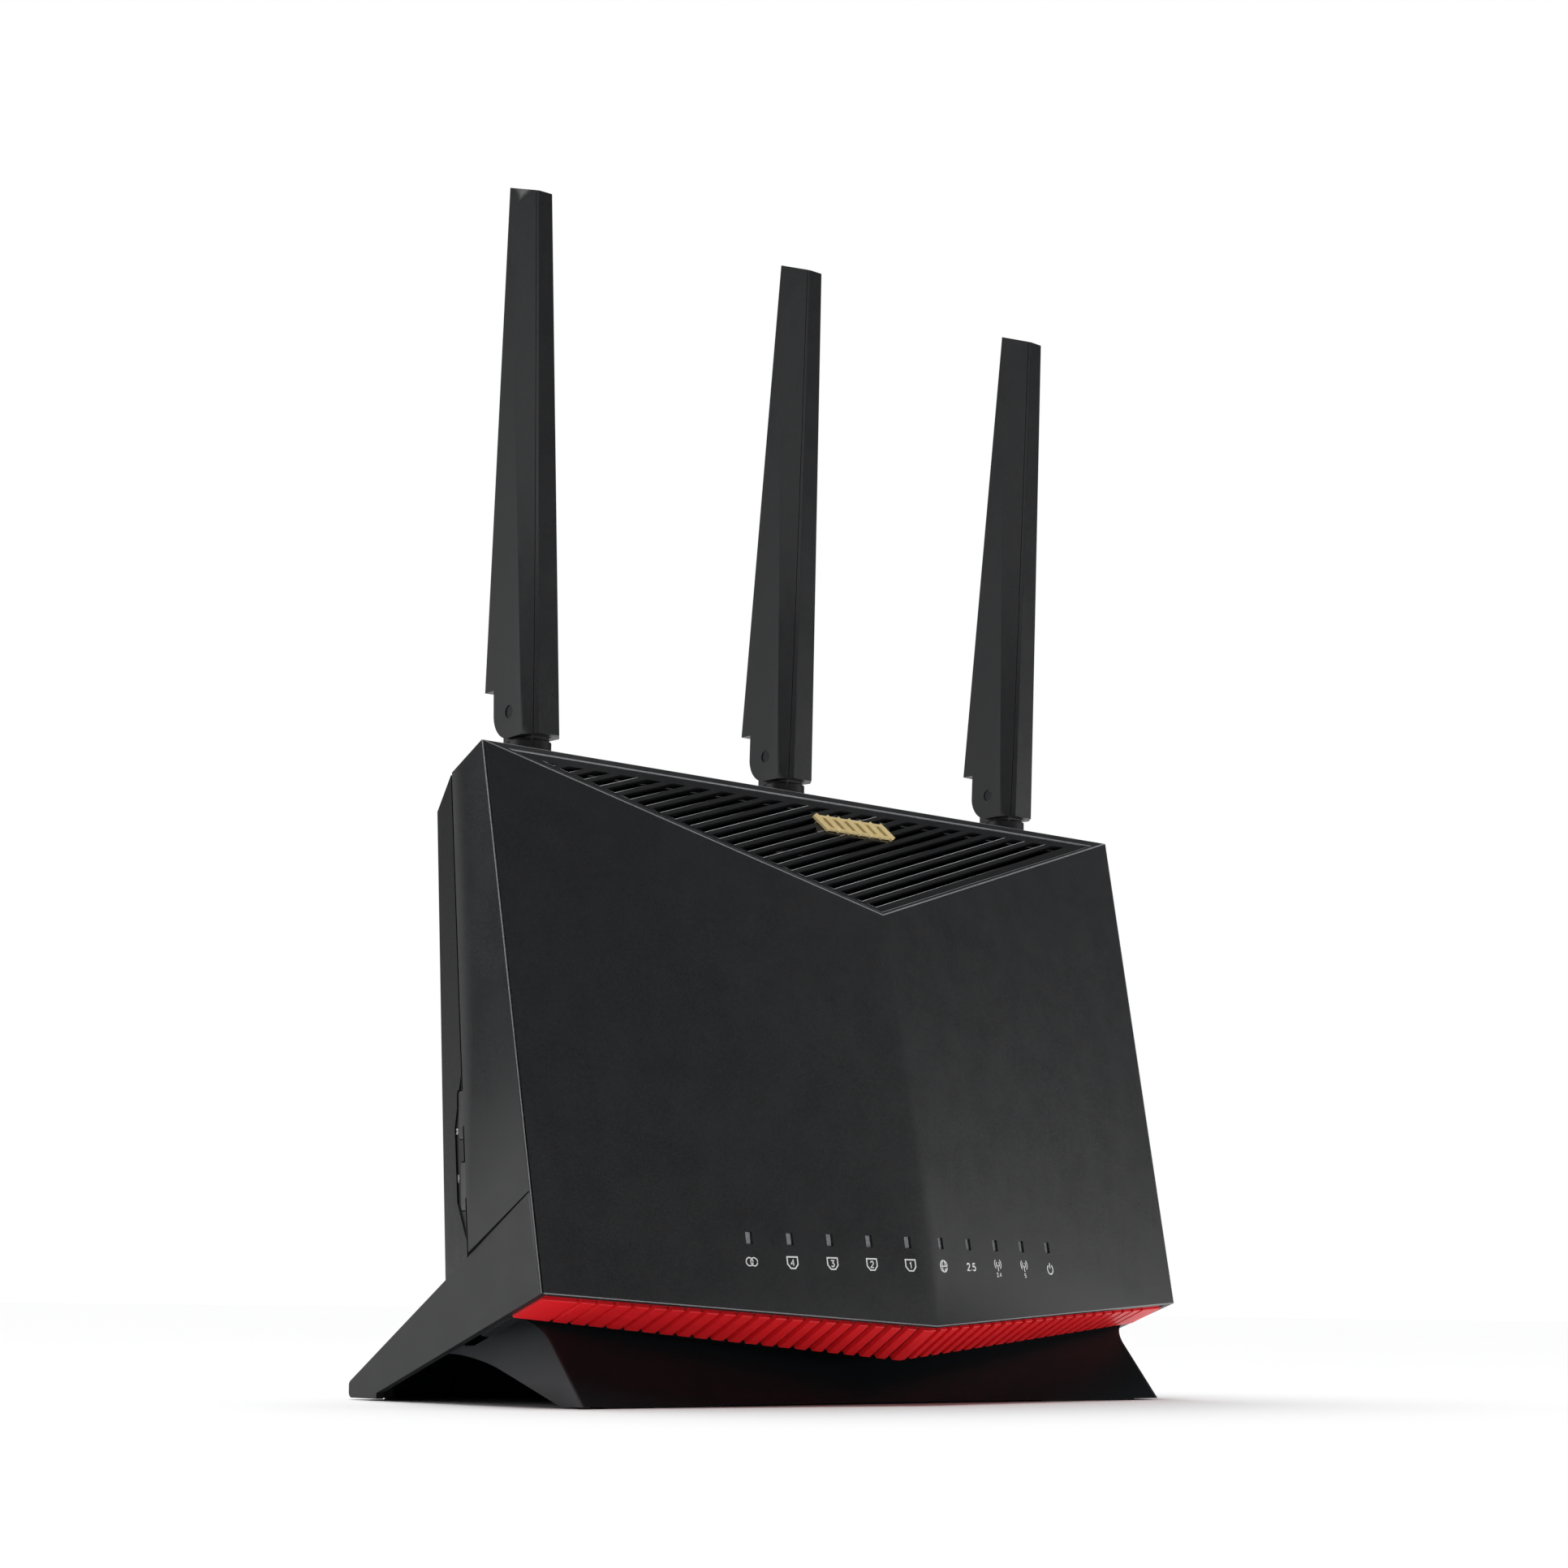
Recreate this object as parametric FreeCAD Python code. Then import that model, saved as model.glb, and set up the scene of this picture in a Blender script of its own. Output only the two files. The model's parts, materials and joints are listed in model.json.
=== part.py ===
import FreeCAD, Part
import math
import os

# A free-standing wireless router with three folding aerials, in millimetres.
# The origin is on the table, under the middle of the footprint: +X is the right
# end seen from the front, +Y runs to the back, +Z is up.  The aerials stand up.

V = FreeCAD.Vector
os.makedirs("parts", exist_ok=True)

# ------------------------------------------------------------ driving dimensions
# Case: a wedge with a vertical prow in the middle of its front.
RIDGE_HALF = 121.1          # half width at the top ridge
RIDGE_Y, RIDGE_Z = -4.5, 166.9
BASE_HALF = 119.1           # half width at the lower front corners
BASE_Z = 27.6
PROW_TOP = V(0, -28.6, 131.3)      # where the prow crease meets the top grille
PROW_BOTTOM = V(0, -50.0, 20.5)
SEAM_TOP_Y, SEAM_TOP_Z = 8.0, 159.6     # seam between the front shell and the rear cover
SEAM_LOW_Y, SEAM_LOW_Z = -2.4, 38.0
REAR_TOP_HALF, REAR_TOP_Y, REAR_TOP_Z = 112.3, 25.2, 152.3
REAR_LOW_Y, REAR_LOW_Z = 23.3, 38.4
CASE_FLOOR_Z = 14.5
WALL = 2.2
GAP = 0.15                  # gap between neighbouring mouldings

# Stand: side wings, a sloping tail panel and a keel under the case.
SOFFIT_SLOPE = 0.37         # the underside falls towards the back
RAMP_SLOPE = 0.627          # top edge of the wings and the tail panel
RAMP_START_Y, RAMP_START_Z = -26.8, 52.6
TAIL_Y = 50.0
TAIL_HALF = 116.4
FOOT_LIFT = 0.5             # plastic stands this far above the table, on rubber pads
WING_THICK = 2.2
TAIL_THICK = 2.2
SKIRT_HALF = 108.0
SKIRT_FRONT_Y = -34.9
SKIRT_LEAN = 0.834          # the skirt leans back this much per millimetre of height
TOE_Y = -26.0
KEEL_RISE = 0.348           # the underside of the keel rises towards the back
KEEL_WALL = 2.0
REAR_PAD = (58.0, 48.0, 6.2, 1.2)       # middle, half length, and y from the tail to both edges
FRONT_PAD = (80.0, 20.0, 2.2, 1.4)      # middle, half length, and y from the toe's two edges
PAD_DEPTH = 1.0             # how far the pads are let into the plastic
PAD_GAP = 0.05
EDGE_GROOVE = (0.3, 0.6, 0.4)           # from, to and depth of the groove beside the side bands

# Accent trim along the lower front edge: a chevron of two mirrored halves.
TRIM_TOP_MID = V(0, -48.0, 19.6)
TRIM_LOW_MID = V(0, -35.8, 11.3)
TRIM_TOP_END = V(-116.6, -29.2, 26.2)
TRIM_LOW_END = V(-116.6, -17.6, 21.6)
TRIM_THICK = 1.6

# Top grille and its badge, both in the plane of the sloping top facet.
GRILLE_INSET = 1.0
GRILLE_THICK = 2.0
GRILLE_PITCH = 3.0
GRILLE_SLOT = 1.75
BADGE_SIZE = (30.0, 5.2, 0.7)
BADGE_CENTRE_UP = 32.0      # up the facet from the prow crease
BADGE_CENTRE_X = 6.0

# Indicators: ten light guides in a row.
LED_COUNT = 10
LED_PITCH = 12.6
LED_Z = 42.3
LED_SLOT = (2.1, 3.1)
LED_BOARD_Y = -28.4         # back face of the indicator board

# Boards and sockets.
BOARD_Y = 5.0               # front face of the main board
BOARD_THICK = 1.6
BOARD_HALF = 97.0
BOARD_Z0, BOARD_Z1 = 37.5, 138.0
SOCKET_Z = 45.5
SOCKET_H = 13.2
SOCKET_BAY = (11.8, 7.2, 12.6)     # width, height and depth of a network socket
SOCKET_PITCH = 14.2
LAN_X = -6.0
LAN_COUNT = 4
MULTIGIG_X = 42.0
INLET_X = 64.0
POWER_X = 84.0
RESET_X = -46.0
PANEL_X0, PANEL_X1 = -56.0, 94.0
PANEL_Z0, PANEL_Z1 = 33.5, 57.5
PANEL_THICK = 1.6

# Buttons.
POWER_R, POWER_TRAVEL = 4.2, 2.0
RESET_R, RESET_TRAVEL = 0.95, 0.5
SIDE_BUTTON = (12.0, 5.6)          # height and depth of the two side buttons
SIDE_TRAVEL = 0.7
SIDE_BUTTON_Z = (72.0, 54.0)       # Wi-Fi pairing, indicator switch
SIDE_BUTTON_Y = 5.5
SIDE_BUTTON_SINK = 0.3      # the buttons' faces below the tapered side
SIDE_POCKET_Z0, SIDE_POCKET_Z1 = 41.0, 82.0
SIDE_POCKET_DEPTH = 0.45
SIDE_POCKET_BACK = 3.2      # depth of the thickened wall behind the pocket

# Aerials.
AERIAL_X = 92.9
AERIAL_Y = 11.8             # swivel axis
HINGE_Y, HINGE_Z = 13.2, 179.6
HINGE_R = 1.45
CHEEK_R = 7.2
BLADE_Z0, BLADE_Z1 = 172.6, 322.0
BLADE_TOP_RISE = 4.4        # the tip slopes up towards the back
TONGUE_HALF = 3.0
SHAFT_R = 4.95
SHAFT_CLEARANCE = 0.05
COLLAR_R = 5.95
SOCKET_BOSS_R = 6.6
BOSS_TOP_Z = 169.0
COLLAR_TOP_Z = 171.6
SHAFT_END_Z = 149.5
# name, side of the case, sideways lean and backward fold at rest, in degrees
AERIALS = (("left", -1, -1.4, 2.3), ("middle", 0, 0.0, 0.0), ("right", 1, 1.0, 0.0))

BIG = 700.0
made = {}


# ------------------------------------------------------------------ small helpers
def box(x0, x1, y0, y1, z0, z1):
    """Return a box between two corners."""
    return Part.makeBox(x1 - x0, y1 - y0, z1 - z0, V(x0, y0, z0))


def rod(start, direction, radius, length):
    """Return a cylinder from a start point along a direction."""
    return Part.makeCylinder(radius, length, start, direction)


def ring(start, direction, radius, bore, length):
    """Return a tube with the given outer and bore radius."""
    return rod(start, direction, radius, length).cut(rod(start, direction, bore, length))


def prism_yz(points, x0, x1):
    """Extrude a polygon of (y, z) points from x0 to x1."""
    wire = Part.makePolygon([V(x0, y, z) for y, z in points + points[:1]])
    return Part.Face(wire).extrude(V(x1 - x0, 0, 0))


def fuse(shapes):
    """Join shapes into one and drop the seams between coplanar faces."""
    first, rest = shapes[0], shapes[1:]
    return first.fuse(rest).removeSplitter() if rest else first


def mirrored(shape):
    """Return the mirror image in the middle plane of the case."""
    return shape.mirror(V(0, 0, 0), V(1, 0, 0))


def both(shape):
    """Return a shape and its mirror image."""
    return [shape, mirrored(shape)]


def plane(a, b, c, inside):
    """Return (normal, distance) of the plane through three points, facing away from inside."""
    normal = (b - a).cross(c - a)
    normal.normalize()
    if normal.dot(inside - a) > 0:
        normal = -normal
    return normal, normal.dot(a)


def mirror_plane(p):
    """Return the mirror image of a plane."""
    return V(-p[0].x, p[0].y, p[0].z), p[1]


def shifted(p, inward):
    """Return a plane moved inward."""
    return p[0], p[1] - inward


def outside_of(p):
    """Return a large block that covers the outer side of a plane."""
    block = Part.makeBox(BIG, BIG, BIG, V(-BIG / 2, -BIG / 2, 0))
    turn = FreeCAD.Rotation(V(0, 0, 1), p[0])
    block.Placement = FreeCAD.Placement(p[0] * p[1], turn)
    return block


def trim_by(shape, planes):
    """Keep the part of a shape on the inner side of every plane."""
    for p in planes:
        shape = shape.cut(outside_of(p))
    return shape


def export(name, shape):
    """Write one sub-part and remember it for the summary."""
    solids = shape.Solids
    if not solids or not shape.isValid():
        raise RuntimeError("bad shape: " + name)
    out = solids[0] if len(solids) == 1 else Part.makeCompound(solids)
    out.exportStep("parts/" + name + ".step")
    made[name] = out


# ------------------------------------------------------------------ case envelope
INSIDE = V(0, 5, 80)
ridge_left = V(-RIDGE_HALF, RIDGE_Y, RIDGE_Z)
ridge_right = V(RIDGE_HALF, RIDGE_Y, RIDGE_Z)
facet_left = plane(ridge_left, PROW_TOP, PROW_BOTTOM, INSIDE)
facet_right = mirror_plane(facet_left)
top_facet = plane(ridge_left, ridge_right, PROW_TOP, INSIDE)


def facet_y(x, z):
    """Return y of the front facets at a given x and z."""
    normal, distance = facet_left
    return (distance - normal.x * -abs(x) - normal.z * z) / normal.y


def side_half(z):
    """Return the half width of the case at a height."""
    return BASE_HALF + (z - BASE_Z) * (RIDGE_HALF - BASE_HALF) / (RIDGE_Z - BASE_Z)


def seam_y(z):
    """Return y of the seam plane at a height."""
    slope = (SEAM_TOP_Y - SEAM_LOW_Y) / (SEAM_TOP_Z - SEAM_LOW_Z)
    return SEAM_LOW_Y + (z - SEAM_LOW_Z) * slope


def ramp_z(y):
    """Return the height of the wing's top edge at a given y."""
    return RAMP_START_Z - RAMP_SLOPE * (y - RAMP_START_Y)


corner_y = facet_y(BASE_HALF, BASE_Z)
SOFFIT_SPREAD = (BASE_Z - PROW_BOTTOM.z + SOFFIT_SLOPE * (corner_y - PROW_BOTTOM.y)) / BASE_HALF


def soffit_z(x, y):
    """Return the height of the case's sloping underside."""
    return PROW_BOTTOM.z + SOFFIT_SPREAD * abs(x) - SOFFIT_SLOPE * (y - PROW_BOTTOM.y)


side_left = plane(ridge_left, V(-BASE_HALF, 0, BASE_Z), V(-BASE_HALF, 20, BASE_Z), INSIDE)
rear_slope_front = plane(ridge_left, ridge_right, V(0, SEAM_TOP_Y, SEAM_TOP_Z), INSIDE)
rear_slope_back = plane(V(-50, SEAM_TOP_Y, SEAM_TOP_Z), V(50, SEAM_TOP_Y, SEAM_TOP_Z),
                        V(0, REAR_TOP_Y, REAR_TOP_Z), INSIDE)
rear_wall = plane(V(-50, REAR_TOP_Y, REAR_TOP_Z), V(50, REAR_TOP_Y, REAR_TOP_Z),
                  V(0, REAR_LOW_Y, REAR_LOW_Z), INSIDE)
rear_side_left = plane(V(-side_half(SEAM_TOP_Z), SEAM_TOP_Y, SEAM_TOP_Z),
                       V(-side_half(SEAM_LOW_Z), SEAM_LOW_Y, SEAM_LOW_Z),
                       V(-REAR_TOP_HALF, REAR_TOP_Y, REAR_TOP_Z), INSIDE)
soffit_left = plane(PROW_BOTTOM, V(-BASE_HALF, corner_y, BASE_Z),
                    V(0, 0, soffit_z(0, 0)), INSIDE)
floor_plane = (V(0, 0, -1), -CASE_FLOOR_Z)
ramp_plane = plane(V(-50, RAMP_START_Y, RAMP_START_Z), V(50, RAMP_START_Y, RAMP_START_Z),
                   V(0, TAIL_Y, ramp_z(TAIL_Y)), INSIDE)
seam_plane = plane(V(-50, SEAM_TOP_Y, SEAM_TOP_Z), V(50, SEAM_TOP_Y, SEAM_TOP_Z),
                   V(0, SEAM_LOW_Y, SEAM_LOW_Z), V(0, -100, 80))

SIDE_PLANES = [facet_left, facet_right, top_facet, side_left, mirror_plane(side_left),
               rear_wall, rear_side_left, mirror_plane(rear_side_left),
               soffit_left, mirror_plane(soffit_left), floor_plane]
CASE_PLANES = SIDE_PLANES + [rear_slope_front, rear_slope_back]


def case_solid(inward):
    """Return the case envelope with every face moved inward."""
    block = trim_by(box(-130, 130, -60, 60, 0, 180), [shifted(p, inward) for p in SIDE_PLANES])
    ahead = trim_by(block, [seam_plane, shifted(rear_slope_front, inward)])
    behind = trim_by(block, [(-seam_plane[0], -seam_plane[1]), shifted(rear_slope_back, inward)])
    return ahead.fuse(behind)


envelope = case_solid(0.0)
cavity = case_solid(WALL)

# The wings lie in shallow side recesses of the case, just behind the front skin.
WING_FRONT_SKIN = 0.9
WING_FOOT_Y = TAIL_Y - 8.5
wing_outer = plane(V(-BASE_HALF, corner_y, BASE_Z),
                   V(-side_half(RAMP_START_Z), RAMP_START_Y, RAMP_START_Z),
                   V(-TAIL_HALF, TAIL_Y, 2.0), INSIDE)
soffit_edge = plane(V(-50, corner_y, BASE_Z), V(50, corner_y, BASE_Z),
                    V(0, 0, BASE_Z + SOFFIT_SLOPE * corner_y), INSIDE)


def outward(p, distance=0.0):
    """Return the plane that faces the other way, moved along the old normal."""
    return -p[0], -(p[1] + distance)


def wing_block():
    """Return the left wing: a plate along the side, down to the rear foot."""
    plate = trim_by(box(-125, -100, -50, TAIL_Y, FOOT_LIFT, 60),
                    [wing_outer, outward(wing_outer, -WING_THICK), (ramp_up[0], ramp_up[1]),
                     shifted(facet_left, WING_FRONT_SKIN)])
    plate = trim_by(plate, [soffit_edge])
    toe = prism_yz([(WING_FOOT_Y - 4.0, FOOT_LIFT), (TAIL_Y, FOOT_LIFT), (TAIL_Y, 8.0),
                    (WING_FOOT_Y - 4.0, 8.0)], -125, -100)
    toe = trim_by(toe, [wing_outer, outward(wing_outer, -WING_THICK), ramp_up])
    return plate.fuse(toe).removeSplitter()


ramp_up = (-ramp_plane[0], -ramp_plane[1])
wing_left = wing_block()
heel = [e for e in wing_left.Edges
        if min(v.Y for v in e.Vertexes) > TAIL_Y - 0.01 and abs(e.Vertexes[0].Z - e.Vertexes[-1].Z) < 0.1]
wing_left = wing_left.makeFillet(1.4, heel)
wing_recess = trim_by(box(-130, -100, -60, 60, 0, 60),
                      [outward(wing_outer, -WING_THICK - GAP), (ramp_up[0], ramp_up[1] + GAP),
                       shifted(facet_left, WING_FRONT_SKIN - GAP)])

# -------------------------------------------------------------------- front shell
shell = envelope.cut(cavity)
front = trim_by(shell, [shifted(seam_plane, GAP / 2)])
front = front.cut(fuse(both(wing_recess)))
# a second skin closes the case behind each wing recess
LINER = 1.6
liner = trim_by(box(-130, -100, -50, 12, CASE_FLOOR_Z, RAMP_START_Z + 3),
                [shifted(wing_outer, WING_THICK + GAP),
                 outward(wing_outer, -WING_THICK - GAP - LINER), shifted(seam_plane, GAP / 2)]
                + [shifted(p, WALL * 0.5) for p in CASE_PLANES])
front = front.fuse(both(liner))
# a fine groove parts each side band from its front facet
groove_from, groove_to, groove_depth = EDGE_GROOVE
side_groove = trim_by(box(-130, -90, -60, 20, 20, 165),
                      [shifted(side_left, groove_from), outward(side_left, -groove_to),
                       outward(facet_left, -groove_depth)])
front = front.cut(both(side_groove))

# the facet frame: local axes of the sloping top facet
facet_up = V(0, RIDGE_Y - PROW_TOP.y, RIDGE_Z - PROW_TOP.z)
FACET_LENGTH = facet_up.Length
facet_up.normalize()
facet_out = top_facet[0]


def facet_point(x, up, out=0.0):
    """Return a point on the top facet, measured from the top of the prow crease."""
    return PROW_TOP + V(x, 0, 0) + facet_up * up + facet_out * out


def facet_triangle(inset, low_inset, out0, out1):
    """Return a triangular plate in the top facet, inset from its edges."""
    side = math.hypot(RIDGE_HALF, FACET_LENGTH)
    low = low_inset * side / RIDGE_HALF          # the lower corner moves up by this much
    top = FACET_LENGTH - inset
    half = (top - low) * RIDGE_HALF / FACET_LENGTH
    points = [facet_point(0, low, out0), facet_point(half, top, out0),
              facet_point(-half, top, out0)]
    wire = Part.makePolygon(points + points[:1])
    return Part.Face(wire).extrude(facet_out * (out1 - out0))


front = front.cut(facet_triangle(2.2, GRILLE_INSET, -6.0, 2.0))
# a rebate behind the opening carries the grille
ledge = facet_triangle(1.6, 0.6, -GRILLE_THICK - 1.5, -GRILLE_THICK).cut(
    facet_triangle(5.0, 3.2, -6.0, 0.0))
front = front.fuse(trim_by(ledge, [shifted(p, 0.8) for p in CASE_PLANES]))

# indicator slots
led_x = [LED_PITCH * (i - (LED_COUNT - 1) / 2) for i in range(LED_COUNT)]
led_slots = [box(x - LED_SLOT[0] / 2, x + LED_SLOT[0] / 2, -60, LED_BOARD_Y - 2,
                 LED_Z - LED_SLOT[1] / 2, LED_Z + LED_SLOT[1] / 2) for x in led_x]
front = front.cut(led_slots)

# recess for the accent trim: a step in the sloping underside
TRIM_RECESS = 1.3
trim_pocket_left = trim_by(box(-117.0, 0.0, -60, 20, 5, 40), [
    shifted(facet_left, 1.2), shifted(mirror_plane(side_left), 0)])
trim_pocket_left = trim_pocket_left.cut(trim_by(
    box(-130, 30, -60, 60, 0, 180), [shifted(soffit_left, TRIM_RECESS)]))
trim_back = plane(V(0, TRIM_LOW_MID.y + 0.4, 0), V(0, TRIM_LOW_MID.y + 0.4, 40),
                  V(TRIM_LOW_END.x, TRIM_LOW_END.y + 0.4, 0), V(0, -80, 20))
trim_pocket_left = trim_by(trim_pocket_left, [trim_back])
front = front.cut(both(trim_pocket_left))

# bosses for the case screws
CASE_SCREWS = [(sx * x, z) for sx in (-1, 1) for x, z in ((102.0, 132.0), (101.0, 41.0))]
CASE_BOSS_R = 3.6
CASE_SCREW_R = 1.5
front_bosses = []
for x, z in CASE_SCREWS:
    boss = rod(V(x, -40, z), V(0, 1, 0), CASE_BOSS_R, 60)
    boss = trim_by(boss, [shifted(p, WALL * 0.5) for p in CASE_PLANES]
                   + [shifted(seam_plane, 2.0)])
    front_bosses.append(boss)
front = front.fuse(front_bosses)
front = front.cut([rod(V(x, seam_y(z) - 14, z), V(0, 1, 0), CASE_SCREW_R - 0.25, 30)
                   for x, z in CASE_SCREWS])

# bosses for the indicator board
LED_SCREW_X = 69.0
led_bosses = [trim_by(rod(V(sx * LED_SCREW_X, -60, LED_Z), V(0, 1, 0), 2.8,
                          60 + LED_BOARD_Y - 1.6),
                      [shifted(p, WALL * 0.5) for p in CASE_PLANES]) for sx in (-1, 1)]
front = front.fuse(led_bosses)
front = front.cut([rod(V(sx * LED_SCREW_X, LED_BOARD_Y - 1.6 - 4.0, LED_Z), V(0, 1, 0), 0.85, 5.0)
                   for sx in (-1, 1)])
# notches for the sockets of the aerial swivels
front = front.cut([rod(V(side * AERIAL_X, AERIAL_Y, SHAFT_END_Z - 8.0), V(0, 0, 1),
                       SOCKET_BOSS_R + GAP, 60) for name, side, lean, fold in AERIALS])
export("front_shell", front.removeSplitter())

# ---------------------------------------------------------------- top grille, badge
grille = facet_triangle(2.2 + GAP, GRILLE_INSET + GAP, -GRILLE_THICK, -0.15)
slot_zone = facet_triangle(4.6, 2.2, -GRILLE_THICK - 1, 1.0)
edge_dir = V(RIDGE_HALF, 0, 0) + facet_up * FACET_LENGTH
edge_dir.normalize()
across = facet_out.cross(edge_dir)
across.normalize()
if across.dot(V(-1, 0, 0)) < 0:
    across = -across
span = across.dot(facet_point(-RIDGE_HALF, FACET_LENGTH) - facet_point(0, 0))
slot_count = int(span / GRILLE_PITCH) - 1
slots = []
for i in range(slot_count):
    start = across * (3.0 + i * GRILLE_PITCH)
    corner = facet_point(0, 0, -4.0) + start - edge_dir * 90.0
    points = [corner, corner + edge_dir * 260.0,
              corner + edge_dir * 260.0 + across * GRILLE_SLOT, corner + across * GRILLE_SLOT]
    block = Part.Face(Part.makePolygon(points + points[:1])).extrude(facet_out * 8.0)
    piece = block.common(slot_zone)
    if piece.Solids and piece.Volume > 1.0:
        slots.append(piece.Solids[0])
badge_centre = facet_point(BADGE_CENTRE_X, BADGE_CENTRE_UP, -0.15)


def badge_plate(grow, thick, sink):
    """Return the badge outline, a slanted bar along the facet's width."""
    half, tall = BADGE_SIZE[0] / 2 + grow, BADGE_SIZE[1] / 2 + grow
    lean = 2.0
    points = [badge_centre + V(x, 0, 0) + facet_up * u + facet_out * sink
              for x, u in ((-half, -tall), (half - lean, -tall), (half, tall),
                           (-half + lean, tall))]
    return Part.Face(Part.makePolygon(points + points[:1])).extrude(facet_out * thick)


badge_pad = badge_plate(0.9, GRILLE_THICK - 0.4, -(GRILLE_THICK - 0.35))
grille = grille.cut(slots).fuse(badge_pad).removeSplitter()
export("top_grille", grille)
export("grille_badge", badge_plate(0.0, BADGE_SIZE[2], 0.0))

# --------------------------------------------------------------------- accent trim
soffit_up = -soffit_left[0]


def trim_section(top, low):
    """Return one end section of the trim: a thin quadrilateral."""
    back = soffit_up * TRIM_THICK
    return Part.makePolygon([top, low, low + back, top + back, top])


trim_half = Part.makeLoft([trim_section(TRIM_TOP_MID, TRIM_LOW_MID),
                           trim_section(TRIM_TOP_END, TRIM_LOW_END)], True, True)
trim_half = trim_half.cut(trim_by(box(-130, 5, -60, 60, 0, 180),
                                  [shifted(soffit_left, TRIM_RECESS)]))
trim_half = trim_half.common(box(-130, 0, -60, 60, 0, 60))
accent = trim_half.fuse(mirrored(trim_half))
export("accent_trim", accent)

# ---------------------------------------------------------------------- rear cover
rear = trim_by(shell, [(-seam_plane[0], -seam_plane[1] - GAP / 2)])
rear = trim_by(rear, [ramp_plane])
# bottom wall along the ramp
ramp_wall = trim_by(envelope, [(-seam_plane[0], -seam_plane[1] - GAP / 2), ramp_plane])
ramp_wall = ramp_wall.cut(trim_by(box(-130, 130, -60, 60, 0, 180),
                                  [shifted(ramp_plane, 2.0)]))
rear = rear.fuse(ramp_wall)
# shadow line beside the seam
rim = envelope.cut(case_solid(0.35))
rim = trim_by(rim, [shifted(seam_plane, -1.0)])
rear = rear.cut(trim_by(rim, [(-seam_plane[0], -seam_plane[1] + 1.0)]))
# inner lip that registers the two halves
lip = case_solid(WALL + 0.1).cut(case_solid(WALL + 1.2))
lip = trim_by(lip, [shifted(seam_plane, -2.2), (-seam_plane[0], -seam_plane[1] + 2.0),
                    shifted(ramp_plane, 16.0)])
lip = lip.cut(front_bosses + both(liner) + [box(-125, 125, -60, 60, 0, 58)])
rear = rear.fuse(lip)

# sockets for the aerial swivels
for name, side, lean, fold in AERIALS:
    x = side * AERIAL_X
    boss = rod(V(x, AERIAL_Y, SHAFT_END_Z + 4.0), V(0, 0, 1), SOCKET_BOSS_R,
               BOSS_TOP_Z - SHAFT_END_Z - 4.0)
    rear = rear.fuse(boss)
    rear = rear.cut(rod(V(x, AERIAL_Y, SHAFT_END_Z - 1.0), V(0, 0, 1),
                        SHAFT_R + SHAFT_CLEARANCE, BOSS_TOP_Z - SHAFT_END_Z + 2.0))

# towers for the case screws
for x, z in CASE_SCREWS:
    tower = rod(V(x, seam_y(z) - 1.6, z), V(0, 1, 0), CASE_BOSS_R, 60)
    tower = trim_by(tower, [shifted(p, WALL * 0.5) for p in CASE_PLANES])
    rear = rear.fuse(tower)
    rear = rear.cut([rod(V(x, -30, z), V(0, 1, 0), CASE_SCREW_R + 0.15, 70),
                     rod(V(x, seam_y(z) + 4.0, z), V(0, 1, 0), 2.9, 40)])

# posts for the main board
BOARD_SCREWS = [(-84.0, 130.0), (84.0, 130.0), (-88.0, 84.0), (88.0, 84.0), (18.0, 130.0),
                (-78.0, 44.0)]
BOARD_BACK = BOARD_Y + BOARD_THICK
posts = []
for x, z in BOARD_SCREWS:
    post = rod(V(x, BOARD_BACK, z), V(0, 1, 0), 3.0, 30)
    posts.append(trim_by(post, [shifted(p, WALL * 0.5) for p in CASE_PLANES]))
rear = rear.fuse(posts)
rear = rear.cut([rod(V(x, BOARD_BACK - 1, z), V(0, 1, 0), 0.95, 8.0) for x, z in BOARD_SCREWS])

# window for the connector panel
def wall_y(z):
    """Return y of the rear wall's outer face at a height."""
    slope = (REAR_TOP_Y - REAR_LOW_Y) / (REAR_TOP_Z - REAR_LOW_Z)
    return REAR_LOW_Y + (z - REAR_LOW_Z) * slope


panel_back = wall_y(PANEL_Z0) - 0.9            # outer face of the panel, set in a little
rear = rear.cut(box(PANEL_X0, PANEL_X1, 15, 40, PANEL_Z0, PANEL_Z1))
# rear ventilation: rows of slots above the panel
VENT_ROWS, VENT_COLUMNS = 5, 9
VENT_SIZE = (13.0, 2.0)
vents = []
for row in range(VENT_ROWS):
    for column in range(VENT_COLUMNS):
        x = (column - (VENT_COLUMNS - 1) / 2) * 17.0 + (4.0 if row % 2 else -4.0)
        z = 96.0 + row * 7.0
        if any(abs(x - px) < 10.5 and abs(z + 1 - pz) < 5 for px, pz in BOARD_SCREWS):
            continue
        vents.append(box(x - VENT_SIZE[0] / 2, x + VENT_SIZE[0] / 2, 19, 40,
                         z, z + VENT_SIZE[1]))
rear = rear.cut(vents)
# pocket for the side buttons in the tapered left side
pocket_floor = shifted(rear_side_left, SIDE_POCKET_DEPTH)
side_normal = rear_side_left[0]


def side_x(y, z, inward=0.0):
    """Return x of the tapered left side at a given y and z."""
    normal, distance = rear_side_left
    return (distance - inward - normal.y * y - normal.z * z) / normal.x


pocket_prism = Part.Face(Part.makePolygon([
    V(-130, seam_y(z) + 1.4 + dy, z) for dy, z in (
        (0.0, SIDE_POCKET_Z1), (8.6, SIDE_POCKET_Z1 - 13.0), (8.6, SIDE_POCKET_Z0 + 9.0),
        (0.6, SIDE_POCKET_Z0), (0.0, SIDE_POCKET_Z0), (0.0, SIDE_POCKET_Z1))])).extrude(V(60, 0, 0))
pocket = pocket_prism.cut(trim_by(box(-200, 130, -60, 60, 0, 180), [pocket_floor]))
rear = rear.cut(pocket)
rear = rear.fuse(trim_by(pocket_prism, [pocket_floor,
                                        outward(rear_side_left, -SIDE_POCKET_BACK)]))


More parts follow.
